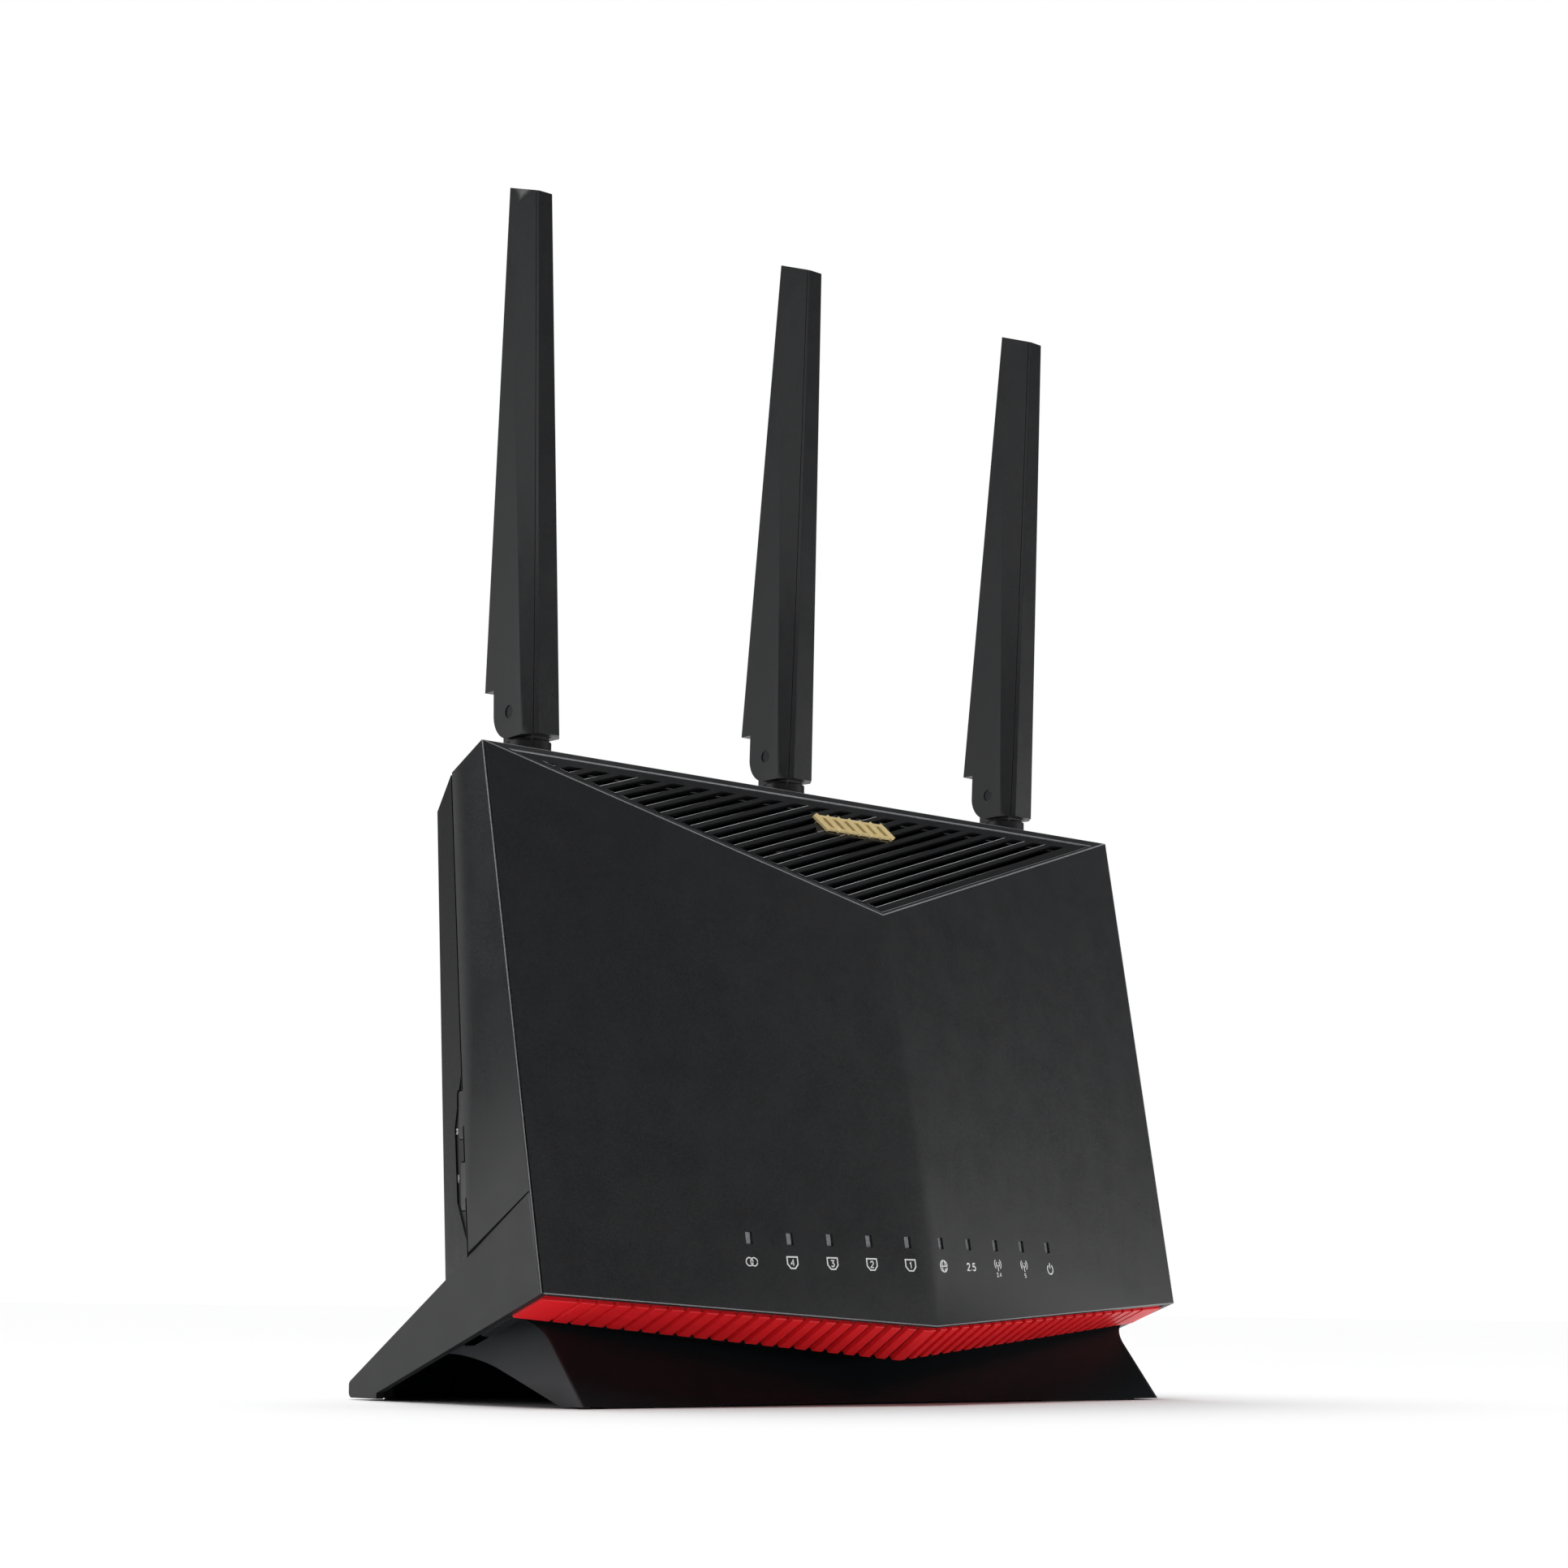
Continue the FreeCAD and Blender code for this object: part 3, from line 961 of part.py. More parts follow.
def lead(x):
    """Return one aerial lead: straight runs joined by tangent arcs."""
    pts = [V(x, AERIAL_Y, SHAFT_END_Z - 0.5), V(x, AERIAL_Y, 139.0), V(x, PLUG_Y, 130.0),
           V(x, PLUG_Y, PLUG_Z + 2.0)]
    edges, start = [], pts[0]
    for before, at, after in zip(pts, pts[1:], pts[2:]):
        to, away = at - before, after - at
        turn = to.getAngle(away)
        cut_back = 0.45 * min(to.Length, away.Length)
        to.normalize()
        away.normalize()
        first, last = at - to * cut_back, at + away * cut_back
        radius = cut_back / math.tan(turn / 2)
        bisector = away - to
        bisector.normalize()
        middle = at + bisector * (radius / math.cos(turn / 2) - radius)
        edges += [Part.makeLine(start, first), Part.Arc(first, middle, last).toShape()]
        start = last
    edges.append(Part.makeLine(start, pts[-1]))
    path = Part.Wire(edges)
    profile = Part.Wire(Part.makeCircle(LEAD_R, pts[0], pts[1] - pts[0]))
    return path.makePipeShell([profile], True, False)


export("aerial_leads", Part.makeCompound([lead(side * AERIAL_X) for _, side, _, _ in AERIALS]))
export("aerial_lead_plugs", Part.makeCompound([
    box(side * AERIAL_X - 1.6, side * AERIAL_X + 1.6, BOARD_BACK, BOARD_BACK + 2.6,
        PLUG_Z - 2.0, PLUG_Z + 2.0) for _, side, _, _ in AERIALS]))

for name, shape in sorted(made.items()):
    b = shape.BoundBox
    print(f"{name:28s} solids {len(shape.Solids):3d}  volume {shape.Volume / 1000:8.3f} cm3  "
          f"y {b.YMin:7.2f} {b.YMax:7.2f}  z {b.ZMin:7.2f} {b.ZMax:7.2f}")
print(len(made), "nodes")
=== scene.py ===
import json
import math
import bmesh
import bpy
from mathutils import Matrix, Vector


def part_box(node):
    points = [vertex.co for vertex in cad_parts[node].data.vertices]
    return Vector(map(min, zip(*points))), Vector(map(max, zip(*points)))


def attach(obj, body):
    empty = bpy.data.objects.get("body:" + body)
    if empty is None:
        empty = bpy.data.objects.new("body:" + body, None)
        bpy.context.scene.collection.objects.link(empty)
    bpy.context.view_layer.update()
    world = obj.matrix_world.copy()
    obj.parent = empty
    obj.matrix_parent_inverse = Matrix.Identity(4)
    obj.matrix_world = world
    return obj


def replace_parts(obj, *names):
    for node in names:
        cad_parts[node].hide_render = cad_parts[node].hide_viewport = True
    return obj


# The looks of a free-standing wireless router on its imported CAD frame.  Metres,
# origin on the table, +X to the right end, +Y to the back, +Z up.  The outlines of
# the trim, the printed marks and the badge are in millimetres, and are brought to
# metres by MM where they become points of a mesh.

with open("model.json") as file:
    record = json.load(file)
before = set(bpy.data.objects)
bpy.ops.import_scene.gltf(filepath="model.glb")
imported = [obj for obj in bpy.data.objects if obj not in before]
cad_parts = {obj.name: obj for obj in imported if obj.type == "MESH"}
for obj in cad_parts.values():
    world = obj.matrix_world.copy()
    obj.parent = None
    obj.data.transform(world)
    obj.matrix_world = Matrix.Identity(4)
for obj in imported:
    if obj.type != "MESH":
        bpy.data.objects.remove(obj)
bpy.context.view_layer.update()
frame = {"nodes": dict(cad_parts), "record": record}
nodes = frame["nodes"]
scene = bpy.context.scene
MM = 0.001


# ------------------------------------------------------------------------ camera
CAMERA_AT = (-0.5985, -0.6233, 0.0251)
CAMERA_YAW = math.radians(43.31)       # turned from +Y towards +X
CAMERA_PITCH = math.radians(9.57)      # looking up
CAMERA_ROLL = math.radians(0.72)
CAMERA_LENS = 71.2                     # millimetres
CAMERA_SENSOR = 36.0                   # millimetres across
CAMERA_CLIP = (0.05, 60.0)

camera_data = bpy.data.cameras.new("camera")
camera_data.lens = CAMERA_LENS
camera_data.sensor_width = CAMERA_SENSOR
camera_data.clip_start, camera_data.clip_end = CAMERA_CLIP
camera = bpy.data.objects.new("camera", camera_data)
scene.collection.objects.link(camera)
forward = Vector((math.sin(CAMERA_YAW) * math.cos(CAMERA_PITCH),
                  math.cos(CAMERA_YAW) * math.cos(CAMERA_PITCH), math.sin(CAMERA_PITCH)))
level_right = Vector((math.cos(CAMERA_YAW), -math.sin(CAMERA_YAW), 0.0))
level_up = level_right.cross(forward)
right = level_right * math.cos(CAMERA_ROLL) + level_up * math.sin(CAMERA_ROLL)
up = right.cross(forward)
turn = Matrix((right, up, -forward)).transposed()
camera.matrix_world = Matrix.Translation(CAMERA_AT) @ turn.to_4x4()
scene.camera = camera


# --------------------------------------------------------------------- materials
FLOW_SIZE = 28 * MM             # broad mottling of moulded plastic
PATCH_SIZE = 9 * MM             # patches of slightly different gloss
WEAR_AND_HIGHLIGHT_RADIUS = 0.4 * MM          # how far the paler edges reach: partly wear, partly painted highlight
GRAIN_DEPTH = 0.05 * MM
SPECK_SHADE = 1.5               # how much paler the grain's peaks are
WEAR_AND_HIGHLIGHT_SHADE = 2.6                # how much paler the edges are: partly wear, partly painted highlight
SCRATCH_SIZE = 0.6 * MM
SCRATCH_DEPTH = 0.02 * MM
TARNISH_SIZE = 6 * MM
METAL_WORN_RADIUS = 0.25 * MM
TRACKS_PER_METRE = 220.0
TRACK_GAP = 0.06
TRACK_DEPTH = 0.03 * MM
MASK_CLOUDS = 7 * MM            # uneven thickness of the solder mask
MASK_GLOSS = 2 * MM             # and its uneven gloss
EDGE_DOT = (0.86, 0.995)        # agreement of face and rounded normal at an edge and on a flat


class Nodes:
    """A material's node tree with short calls for the nodes used here."""

    def __init__(self, name):
        self.material = bpy.data.materials.new(name)
        self.material.use_nodes = True
        self.tree = self.material.node_tree
        self.shader = self.tree.nodes["Principled BSDF"]
        self.place = self.add("ShaderNodeTexCoord").outputs["Object"]

    def add(self, kind, **settings):
        """Add a node, and set its attributes."""
        node = self.tree.nodes.new(kind)
        for key, value in settings.items():
            setattr(node, key, value)
        return node

    def link(self, source, target):
        """Join an output to an input."""
        self.tree.links.new(source, target)

    def noise(self, size, detail=2.0, rough=0.5, stretch=None):
        """Return a noise value whose features are about this size in metres."""
        node = self.add("ShaderNodeTexNoise")
        node.inputs["Scale"].default_value = 1.0 / size
        node.inputs["Detail"].default_value = detail
        node.inputs["Roughness"].default_value = rough
        place = self.place
        if stretch:
            mapping = self.add("ShaderNodeMapping")
            mapping.inputs["Scale"].default_value = stretch
            self.link(place, mapping.inputs["Vector"])
            place = mapping.outputs["Vector"]
        self.link(place, node.inputs["Vector"])
        return node.outputs["Fac"]

    def spread(self, value, low, high, start=0.3, end=0.7):
        """Map a value from a range to another."""
        node = self.add("ShaderNodeMapRange")
        for key, number in (("From Min", start), ("From Max", end), ("To Min", low), ("To Max", high)):
            node.inputs[key].default_value = number
        self.link(value, node.inputs["Value"])
        return node.outputs["Result"]

    def math(self, operation, first, second):
        """Combine two values, or a value and a number."""
        node = self.add("ShaderNodeMath", operation=operation)
        for socket, item in zip(node.inputs, (first, second)):
            if isinstance(item, (int, float)):
                socket.default_value = item
            else:
                self.link(item, socket)
        return node.outputs["Value"]

    def blend(self, factor, first, second):
        """Mix two colours by a value; each colour is a socket or three numbers."""
        node = self.add("ShaderNodeMix", data_type="RGBA")
        self.link(factor, node.inputs["Factor"])
        for key, item in (("A", first), ("B", second)):
            socket = [s for s in node.inputs if s.name == key and s.type == "RGBA"][0]
            if isinstance(item, tuple):
                socket.default_value = (*item, 1.0)
            else:
                self.link(item, socket)
        return [s for s in node.outputs if s.type == "RGBA"][0]

    def edges(self, radius):
        """Return 1 near sharp edges and 0 on flat faces."""
        bevel = self.add("ShaderNodeBevel", samples=4)
        bevel.inputs["Radius"].default_value = radius
        geometry = self.add("ShaderNodeNewGeometry")
        dot = self.add("ShaderNodeVectorMath", operation="DOT_PRODUCT")
        self.link(bevel.outputs["Normal"], dot.inputs[0])
        self.link(geometry.outputs["Normal"], dot.inputs[1])
        return self.spread(dot.outputs["Value"], 1.0, 0.0, *EDGE_DOT)

    def along(self, axis):
        """Return the object coordinate along one axis."""
        split = self.add("ShaderNodeSeparateXYZ")
        self.link(self.place, split.inputs[0])
        return split.outputs[axis]

    def ends(self, start, end):
        """Return 0 in the middle of the object's length and 1 beyond both ends of a range."""
        return self.spread(self.math("ABSOLUTE", self.along("X"), 0.0), 0.0, 1.0, start, end)

    def low(self, start, end):
        """Return 1 near the table, fading to 0 over a range of heights."""
        return self.spread(self.along("Z"), 1.0, 0.0, start, end)

    def bump(self, height, strength, distance):
        """Drive the shader's normal from a height."""
        node = self.add("ShaderNodeBump")
        node.inputs["Strength"].default_value = strength
        node.inputs["Distance"].default_value = distance
        self.link(height, node.inputs["Height"])
        self.link(node.outputs["Normal"], self.shader.inputs["Normal"])


def shade(colour, factor):
    """Return a colour made lighter or darker."""
    return tuple(min(1.0, c * factor) for c in colour)


def moulded(name, colour, rough=0.45, grain=0.45 * MM, bump=0.25, edge_paling=0.35, specular=0.5,
            mottle=0.12, flank_painted_light=None):
    """Moulded plastic: fine spark-eroded grain, faint flow mottling, paler edges that are partly wear
    and partly a painted highlight.

    With a flank light colour, the low ends of the object take that colour: a painted light on the
    keel's flanks, fading out with height.
    """
    n = Nodes(name)
    n.shader.inputs["Specular IOR Level"].default_value = specular
    fine = n.noise(grain, 2.0, 0.6)
    broad = n.noise(FLOW_SIZE, 3.0)
    base = n.blend(n.spread(broad, 0.0, 1.0), shade(colour, 1 - mottle), shade(colour, 1 + mottle))
    speck = n.blend(n.spread(fine, 0.0, 1.0, 0.35, 0.75), base, shade(colour, SPECK_SHADE))
    # painted highlight, partly also wear: edges are painted paler than the flats
    wear_and_highlight = n.math("MULTIPLY", n.edges(WEAR_AND_HIGHLIGHT_RADIUS), edge_paling)
    surface = n.blend(wear_and_highlight, speck, shade(colour, WEAR_AND_HIGHLIGHT_SHADE))
    # painted light: the keel's low ends are painted paler, fading out with height
    if flank_painted_light:
        flank_light_mask = n.math("MULTIPLY", n.ends(*FLANK_RANGE), n.low(*FLANK_FADE))
        surface = n.blend(flank_light_mask, surface, flank_painted_light)
    n.link(surface, n.shader.inputs["Base Color"])
    patch = n.spread(n.noise(PATCH_SIZE, 2.0), -0.03, 0.03)
    sparkle = n.spread(fine, rough - 0.05, rough + 0.06)
    n.link(n.math("ADD", patch, sparkle), n.shader.inputs["Roughness"])
    n.bump(fine, bump, GRAIN_DEPTH)
    return n.material


def metal(name, colour, rough=0.28, stretch=(1, 1, 12), edge_paling=0.3, metallic=1.0):
    """Metal with fine directional scratches and slightly uneven tarnish."""
    n = Nodes(name)
    n.shader.inputs["Metallic"].default_value = metallic
    lines = n.noise(SCRATCH_SIZE, 3.0, 0.6, stretch)
    tarnish = n.noise(TARNISH_SIZE, 3.0)
    base = n.blend(n.spread(tarnish, 0.0, 1.0), shade(colour, 0.85), shade(colour, 1.08))
    worn = n.blend(n.math("MULTIPLY", n.edges(METAL_WORN_RADIUS), edge_paling), base, shade(colour, 1.3))
    n.link(worn, n.shader.inputs["Base Color"])
    n.link(n.spread(lines, rough - 0.06, rough + 0.12), n.shader.inputs["Roughness"])
    n.bump(lines, 0.15, SCRATCH_DEPTH)
    return n.material


def board(name, colour):
    """Circuit board: solder mask over faint copper tracks."""
    n = Nodes(name)
    tracks = n.add("ShaderNodeTexBrick")
    tracks.inputs["Scale"].default_value = TRACKS_PER_METRE
    tracks.inputs["Mortar Size"].default_value = TRACK_GAP
    tracks.inputs["Color1"].default_value = (*colour, 1.0)
    tracks.inputs["Color2"].default_value = (*shade(colour, 1.35), 1.0)
    tracks.inputs["Mortar"].default_value = (*shade(colour, 0.6), 1.0)
    n.link(n.place, tracks.inputs["Vector"])
    clouds = n.spread(n.noise(MASK_CLOUDS), 0.0, 0.5)
    tint = n.blend(clouds, tracks.outputs["Color"], shade(colour, 1.8))
    n.link(tint, n.shader.inputs["Base Color"])
    n.link(n.spread(n.noise(MASK_GLOSS), 0.25, 0.38), n.shader.inputs["Roughness"])
    n.bump(tracks.outputs["Fac"], 0.2, TRACK_DEPTH)
    return n.material


BLACK = (0.0125, 0.0130, 0.0142)
RED = (0.95, 0.012, 0.018)
GOLD = (0.98, 0.74, 0.36)
# The flank colour below is painted light on the keel's lit flanks.
STAND_BLACK = (0.0036, 0.0062, 0.0074)
FLANK_PAINTED_LIGHT = (0.085, 0.087, 0.092)
FLANK_RANGE = (107 * MM, 108 * MM)      # distances from the middle where the keel's flanks begin
FLANK_FADE = (6 * MM, 20 * MM)          # heights over which the painted light on the flanks fades out

# The finish of each material slot of the record.
finish = {
    "case_front": moulded("case_front_plastic", BLACK, 0.40),
    "case_rear": moulded("case_rear_plastic", shade(BLACK, 0.55), 0.48, specular=0.22),
    "wing": moulded("wing_plastic", shade(BLACK, 1.1), 0.42),
    "stand": moulded("stand_plastic", STAND_BLACK, 0.5, specular=0.13, flank_painted_light=FLANK_PAINTED_LIGHT),
    "grille": moulded("grille_plastic", shade(BLACK, 0.7), 0.38, bump=0.15, edge_paling=0.6,
                      specular=0.35),
    "gold": metal("badge_gold", GOLD, 0.34, (12, 1, 1), metallic=0.25),
    "accent_red": moulded("trim_red", RED, 0.44, bump=0.1, edge_paling=0.12, mottle=0.05),
    "pads": moulded("foot_rubber", (0.02, 0.02, 0.021), 0.85, 0.7 * MM, 0.5, 0.1),
    "screw_steel": metal("screw_steel", (0.45, 0.45, 0.46)),
    "circuit_board": board("solder_mask", (0.01, 0.10, 0.05)),
    "chip": moulded("chip_epoxy", (0.02, 0.02, 0.022), 0.55, 0.3 * MM),
    "thermal_pad": moulded("thermal_pad", (0.42, 0.45, 0.50), 0.8, 0.5 * MM, 0.4, 0.1),
    "heat_sink": metal("heat_sink_black", (0.035, 0.036, 0.038), 0.42, (1, 1, 14)),
    "shield": metal("tinned_shield", (0.6, 0.6, 0.58), 0.25, (6, 6, 1)),
    "component": moulded("component_black", (0.02, 0.02, 0.02), 0.4),
    "capacitor": metal("capacitor_can", (0.6, 0.6, 0.62), 0.3),
    "led": moulded("led_lens", (0.85, 0.83, 0.72), 0.3, 0.4 * MM, 0.1, 0.1),
    "light_guide": moulded("light_guide", (0.42, 0.43, 0.45), 0.25, 0.5 * MM, 0.1, 0.2),
    "ribbon": moulded("ribbon_cable", (0.75, 0.75, 0.74), 0.4),
    "socket_black": moulded("socket_black", (0.012, 0.012, 0.013), 0.35, 0.3 * MM, 0.15),
    "socket_fast": moulded("socket_fast", (0.12, 0.02, 0.02), 0.35, 0.3 * MM, 0.15),
    "contact_gold": metal("contact_gold", (0.8, 0.6, 0.25), 0.2, (1, 8, 1)),
    "inlet_pin": metal("inlet_pin", (0.7, 0.7, 0.7), 0.15, (1, 8, 1)),
    "panel": moulded("panel_plastic", shade(BLACK, 0.8), 0.5),
    "button": moulded("button_plastic", shade(BLACK, 1.3), 0.4),
    "aerial": moulded("aerial_plastic", shade(BLACK, 1.05), 0.42),
    "aerial_front": moulded("aerial_strip_plastic", BLACK, 0.40),
    "swivel": moulded("swivel_plastic", shade(BLACK, 0.8), 0.38, 0.35 * MM, 0.15),
    "lead": moulded("lead_jacket", (0.02, 0.02, 0.02), 0.5),
    "radiator_board": board("radiator_mask", (0.02, 0.12, 0.06)),
    "printed_marks": moulded("printed_marks", (0.95, 0.95, 0.96), 0.6, 0.3 * MM, 0.1, 0.0,
                             mottle=0.04),
    "pin_black": metal("pin_black_steel", (0.04, 0.041, 0.044), 0.4),
}

# Painted highlights: a pale colour for the rounded edges of the slots whose edges catch the light.
edge_highlight_paint = {
    "case_front": moulded("case_front_painted_highlight", (0.22, 0.223, 0.23), 0.35, edge_paling=0.0),
    "grille": moulded("grille_painted_highlight", (0.50, 0.505, 0.515), 0.35, edge_paling=0.0),
    "wing": moulded("wing_painted_highlight", (0.060, 0.061, 0.063), 0.35, edge_paling=0.0),
    "stand": moulded("stand_painted_highlight", (0.020, 0.021, 0.023), 0.4, edge_paling=0.0),
}
# Painted shade in the trim's grooves: a darkened copy of the red for the groove faces.
groove_painted_shade = moulded("trim_groove_painted_shade", shade(RED, 0.28), 0.5, bump=0.1, edge_paling=0.0, mottle=0.05)

slot_of = {s["node"]: s["material_slot"] for s in frame["record"]["subparts"]}
body_of = {n: b for b, group in frame["record"]["behaviour"]["bodies"].items() for n in group}
for name, node in nodes.items():
    node.data.materials.clear()
    node.data.materials.append(finish[slot_of[name]])


# ------------------------------------------------------------------------ pieces
WELD = 0.002 * MM           # corners of the CAD mesh closer than this are one
FLAT_ANGLE = 0.3            # degrees: faces that differ by less are joined into one
ROUND_ANGLE = 24.0          # degrees: edges sharper than this are rounded
ROUND_SEGMENTS = 2
LONG_EDGE = 5.0 * MM
SHORT_BAR = 1.5 * MM
LONG_EDGED = ("front_shell", "top_grille", "left_wing", "right_wing")    # rounded on long edges only
UPPER_EDGE = 0.75           # how far the grille's painted edge highlights face up
UNDER_EDGE = -0.55          # edges that face further down than this stay sharp
REAR_EDGE = 0.3             # as do edges that face back by more than this
SIDE_HALF = 119.1 * MM      # half width of the case at SIDE_HEIGHT
SIDE_HEIGHT = 27.6 * MM
SIDE_GROWTH = 0.01436       # growth of that half width per unit of height
GROOVE_INSET = 0.45 * MM    # inner edge of the groove beside each side band

# Edge radius of each visible moulding, in millimetres.
ROUNDED = {
    "front_shell": 0.22, "rear_cover": 0.3, "left_wing": 0.3, "right_wing": 0.3,
    "base_keel": 0.35, "tail_panel": 0.4, "top_grille": 0.18, "connector_panel": 0.2,
    "power_button": 0.3, "pairing_button": 0.2, "indicator_button": 0.2,
    "lan_sockets": 0.12, "fast_network_socket": 0.12, "dc_inlet": 0.15,
    "front_feet": 0.2, "rear_feet": 0.2,
}
for side in ("left", "middle", "right"):
    ROUNDED[side + "_aerial_blade"] = 0.3
    ROUNDED[side + "_aerial_front_strip"] = 0.2
    ROUNDED[side + "_aerial_swivel"] = 0.25


def new_piece(name, mesh, body, slot, crisp=None):
    """Add a mesh as a piece that rides on a body; it keeps its own materials, if it has any.

    With an angle, edges sharper than that many degrees are crisp and the rest is smooth;
    without one the mesh keeps its own shading.
    """
    if not mesh.materials:
        mesh.materials.append(finish[slot])
    if crisp is not None:
        mesh.shade_smooth()
        mesh.set_sharp_from_angle(angle=math.radians(crisp))
    piece = bpy.data.objects.new(name, mesh)
    scene.collection.objects.link(piece)
    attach(piece, body)
    return piece


def modified_mesh(piece):
    """Return the piece's mesh with its modifiers applied."""
    graph = bpy.context.evaluated_depsgraph_get()
    return bpy.data.meshes.new_from_object(piece.evaluated_get(graph))


def gets_painted_highlight(node, edge):
    """Say whether a long outer edge of a case moulding gets a rounded lip with a painted highlight."""
    if len(edge.link_faces) != 2:
        return False
    facing = (edge.link_faces[0].normal + edge.link_faces[1].normal).normalized()
    if node == "top_grille":
        return facing.z > UPPER_EDGE and edge.calc_length() > SHORT_BAR
    if edge.calc_length() < LONG_EDGE or facing.z < UNDER_EDGE:
        return False
    if node != "front_shell":
        return True
    end = edge.verts[0].co
    run = edge.verts[1].co - end
    half = SIDE_HALF + (end.z - SIDE_HEIGHT) * SIDE_GROWTH
    steep = abs(run.z) > abs(run.x) + abs(run.y)
    in_groove = steep and abs(end.x) < half - GROOVE_INSET
    wing_seam = abs(run.y) > abs(run.z) and abs(end.x) > half - GROOVE_INSET
    return not in_groove and not wing_seam and facing.y < REAR_EDGE


def softened(node, width):
    """Replace a CAD node by a copy of itself with rounded edges."""
    mesh = bpy.data.meshes.new(node + "_soft")
    work = bmesh.new()
    work.from_mesh(nodes[node].data)
    bmesh.ops.remove_doubles(work, verts=work.verts, dist=WELD)
    bmesh.ops.dissolve_limit(work, angle_limit=math.radians(FLAT_ANGLE), verts=work.verts,
                             edges=work.edges)
    weight = work.edges.layers.float.new("bevel_weight_edge")
    for edge in work.edges:
        if edge.calc_face_angle(0.0) > math.radians(ROUND_ANGLE):
            if gets_painted_highlight(node, edge):
                edge[weight] = 1.0
            elif node in LONG_EDGED:
                edge.smooth = False
    work.to_mesh(mesh)
    work.free()
    mesh.shade_smooth()
    mesh.materials.clear()
    mesh.materials.append(finish[slot_of[node]])
    # the bevel's rounded faces take the painted highlight as a second material
    if slot_of[node] in edge_highlight_paint:
        mesh.materials.append(edge_highlight_paint[slot_of[node]])
    rough = bpy.data.objects.new(node + "_rough", mesh)
    scene.collection.objects.link(rough)
    bevel = rough.modifiers.new("round", "BEVEL")
    bevel.width = width
    bevel.segments = ROUND_SEGMENTS
    bevel.limit_method = "WEIGHT" if node in LONG_EDGED else "ANGLE"
    bevel.angle_limit = math.radians(ROUND_ANGLE)
    bevel.use_clamp_overlap = node not in LONG_EDGED
    bevel.miter_outer = "MITER_SHARP"
    bevel.harden_normals = True
    bevel.material = 1 if slot_of[node] in edge_highlight_paint else -1
    even = rough.modifiers.new("even", "WEIGHTED_NORMAL")
    even.keep_sharp = True
    even.weight = 100
    result = modified_mesh(rough)
    bpy.data.objects.remove(rough)
    bpy.data.meshes.remove(mesh)
    piece = new_piece(node + "_finished", result, body_of[node], slot_of[node])
    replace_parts(piece, node)


for name, radius in ROUNDED.items():
    softened(name, radius * MM)


# ------------------------------------------------------------------ ribbed accent
TRIM_TOP = (Vector((0, -48.0, 19.6)), Vector((116.6, -29.2, 26.2)))
TRIM_LOW = (Vector((0, -35.8, 11.3)), Vector((116.6, -17.6, 21.6)))
TRIM_THICKNESS = 1.5
TRIM_END_GAP = 0.1
TRIM_START = 0.04       # share of the trim's width hidden in the shadow gap under the case
EDGE_SINK = 0.14        # roundness of the trim's long edges
EDGE_SHARE = 0.014      # share of the width that the rounding of the upper edge takes
LOWER_ROUND = 0.984     # share of the width where the rounding of the lower edge starts
RIB_PITCH = 5.15
RIB_SLOPE = 0.15
FIRST_RIB_END = 2.3
LAST_RIB_MARGIN = 4.0
GROOVE_DEPTH = 1.1
GROOVE_WIDTH = (2.4, 1.3)       # in the middle of the trim and at its ends
CRISP_RIB = 12.0                # degrees: sharper edges of the trim are crisp


def trim_point(x, across, depth):
    """Return a point of the trim: across runs from its upper to its lower edge."""
    share = abs(x) / TRIM_TOP[1].x
    top = TRIM_TOP[0].lerp(TRIM_TOP[1], share)
    low = TRIM_LOW[0].lerp(TRIM_LOW[1], share)
    point = top.lerp(low, across)
    normal = Vector((0, -(top.z - low.z), -(low.y - top.y))).normalized()
    point -= normal * depth
    point.x = x
    return point * MM


def rib_stations():
    """Return (x, groove) pairs from the middle of the trim to one end; groove is 0 or 1."""
    half_length = TRIM_TOP[1].x
    stations = [(0.0, 0.0)]
    x = FIRST_RIB_END
    while x + RIB_PITCH < half_length - LAST_RIB_MARGIN:
        share = x / half_length
        width = GROOVE_WIDTH[0] + (GROOVE_WIDTH[1] - GROOVE_WIDTH[0]) * share
        stations += [(x, 0.0), (x + RIB_SLOPE, 1.0), (x + width - RIB_SLOPE, 1.0), (x + width, 0.0)]
        x += RIB_PITCH
    return stations + [(half_length - TRIM_END_GAP, 0.0)]


def ribbed_trim():
    """Build the chevron trim with its cross ribs as one closed mesh."""
    half = rib_stations()
    stations = [(-x, g) for x, g in reversed(half)] + half[1:]
    crosswise = ((TRIM_START, EDGE_SINK), (TRIM_START + EDGE_SHARE, 0.0), (LOWER_ROUND, 0.0),
                 (1.0, EDGE_SINK))
    mesh = bmesh.new()
    rows = []
    for x, groove in stations:
        outline = [(across, depth + GROOVE_DEPTH * groove) for across, depth in crosswise]
        outline += [(1.0, TRIM_THICKNESS), (TRIM_START, TRIM_THICKNESS)]
        rows.append([mesh.verts.new(trim_point(x, across, depth)) for across, depth in outline])
    for near, far, (_, start), (_, end) in zip(rows, rows[1:], stations, stations[1:]):
        for i in range(len(near)):
            j = (i + 1) % len(near)
            face = mesh.faces.new((near[i], near[j], far[j], far[i]))
            # faces inside a groove take the painted shade
            if start and end and i < len(crosswise):
                face.material_index = 1
    mesh.faces.new(rows[0])
    mesh.faces.new(list(reversed(rows[-1])))
    bmesh.ops.recalc_face_normals(mesh, faces=mesh.faces)
    data = bpy.data.meshes.new("accent_trim_ribbed")
    mesh.to_mesh(data)
    mesh.free()
    data.materials.append(finish["accent_red"])
    data.materials.append(groove_painted_shade)
    piece = new_piece("accent_trim_ribbed", data, "case", "accent_red", CRISP_RIB)
    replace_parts(piece, "accent_trim")


ribbed_trim()


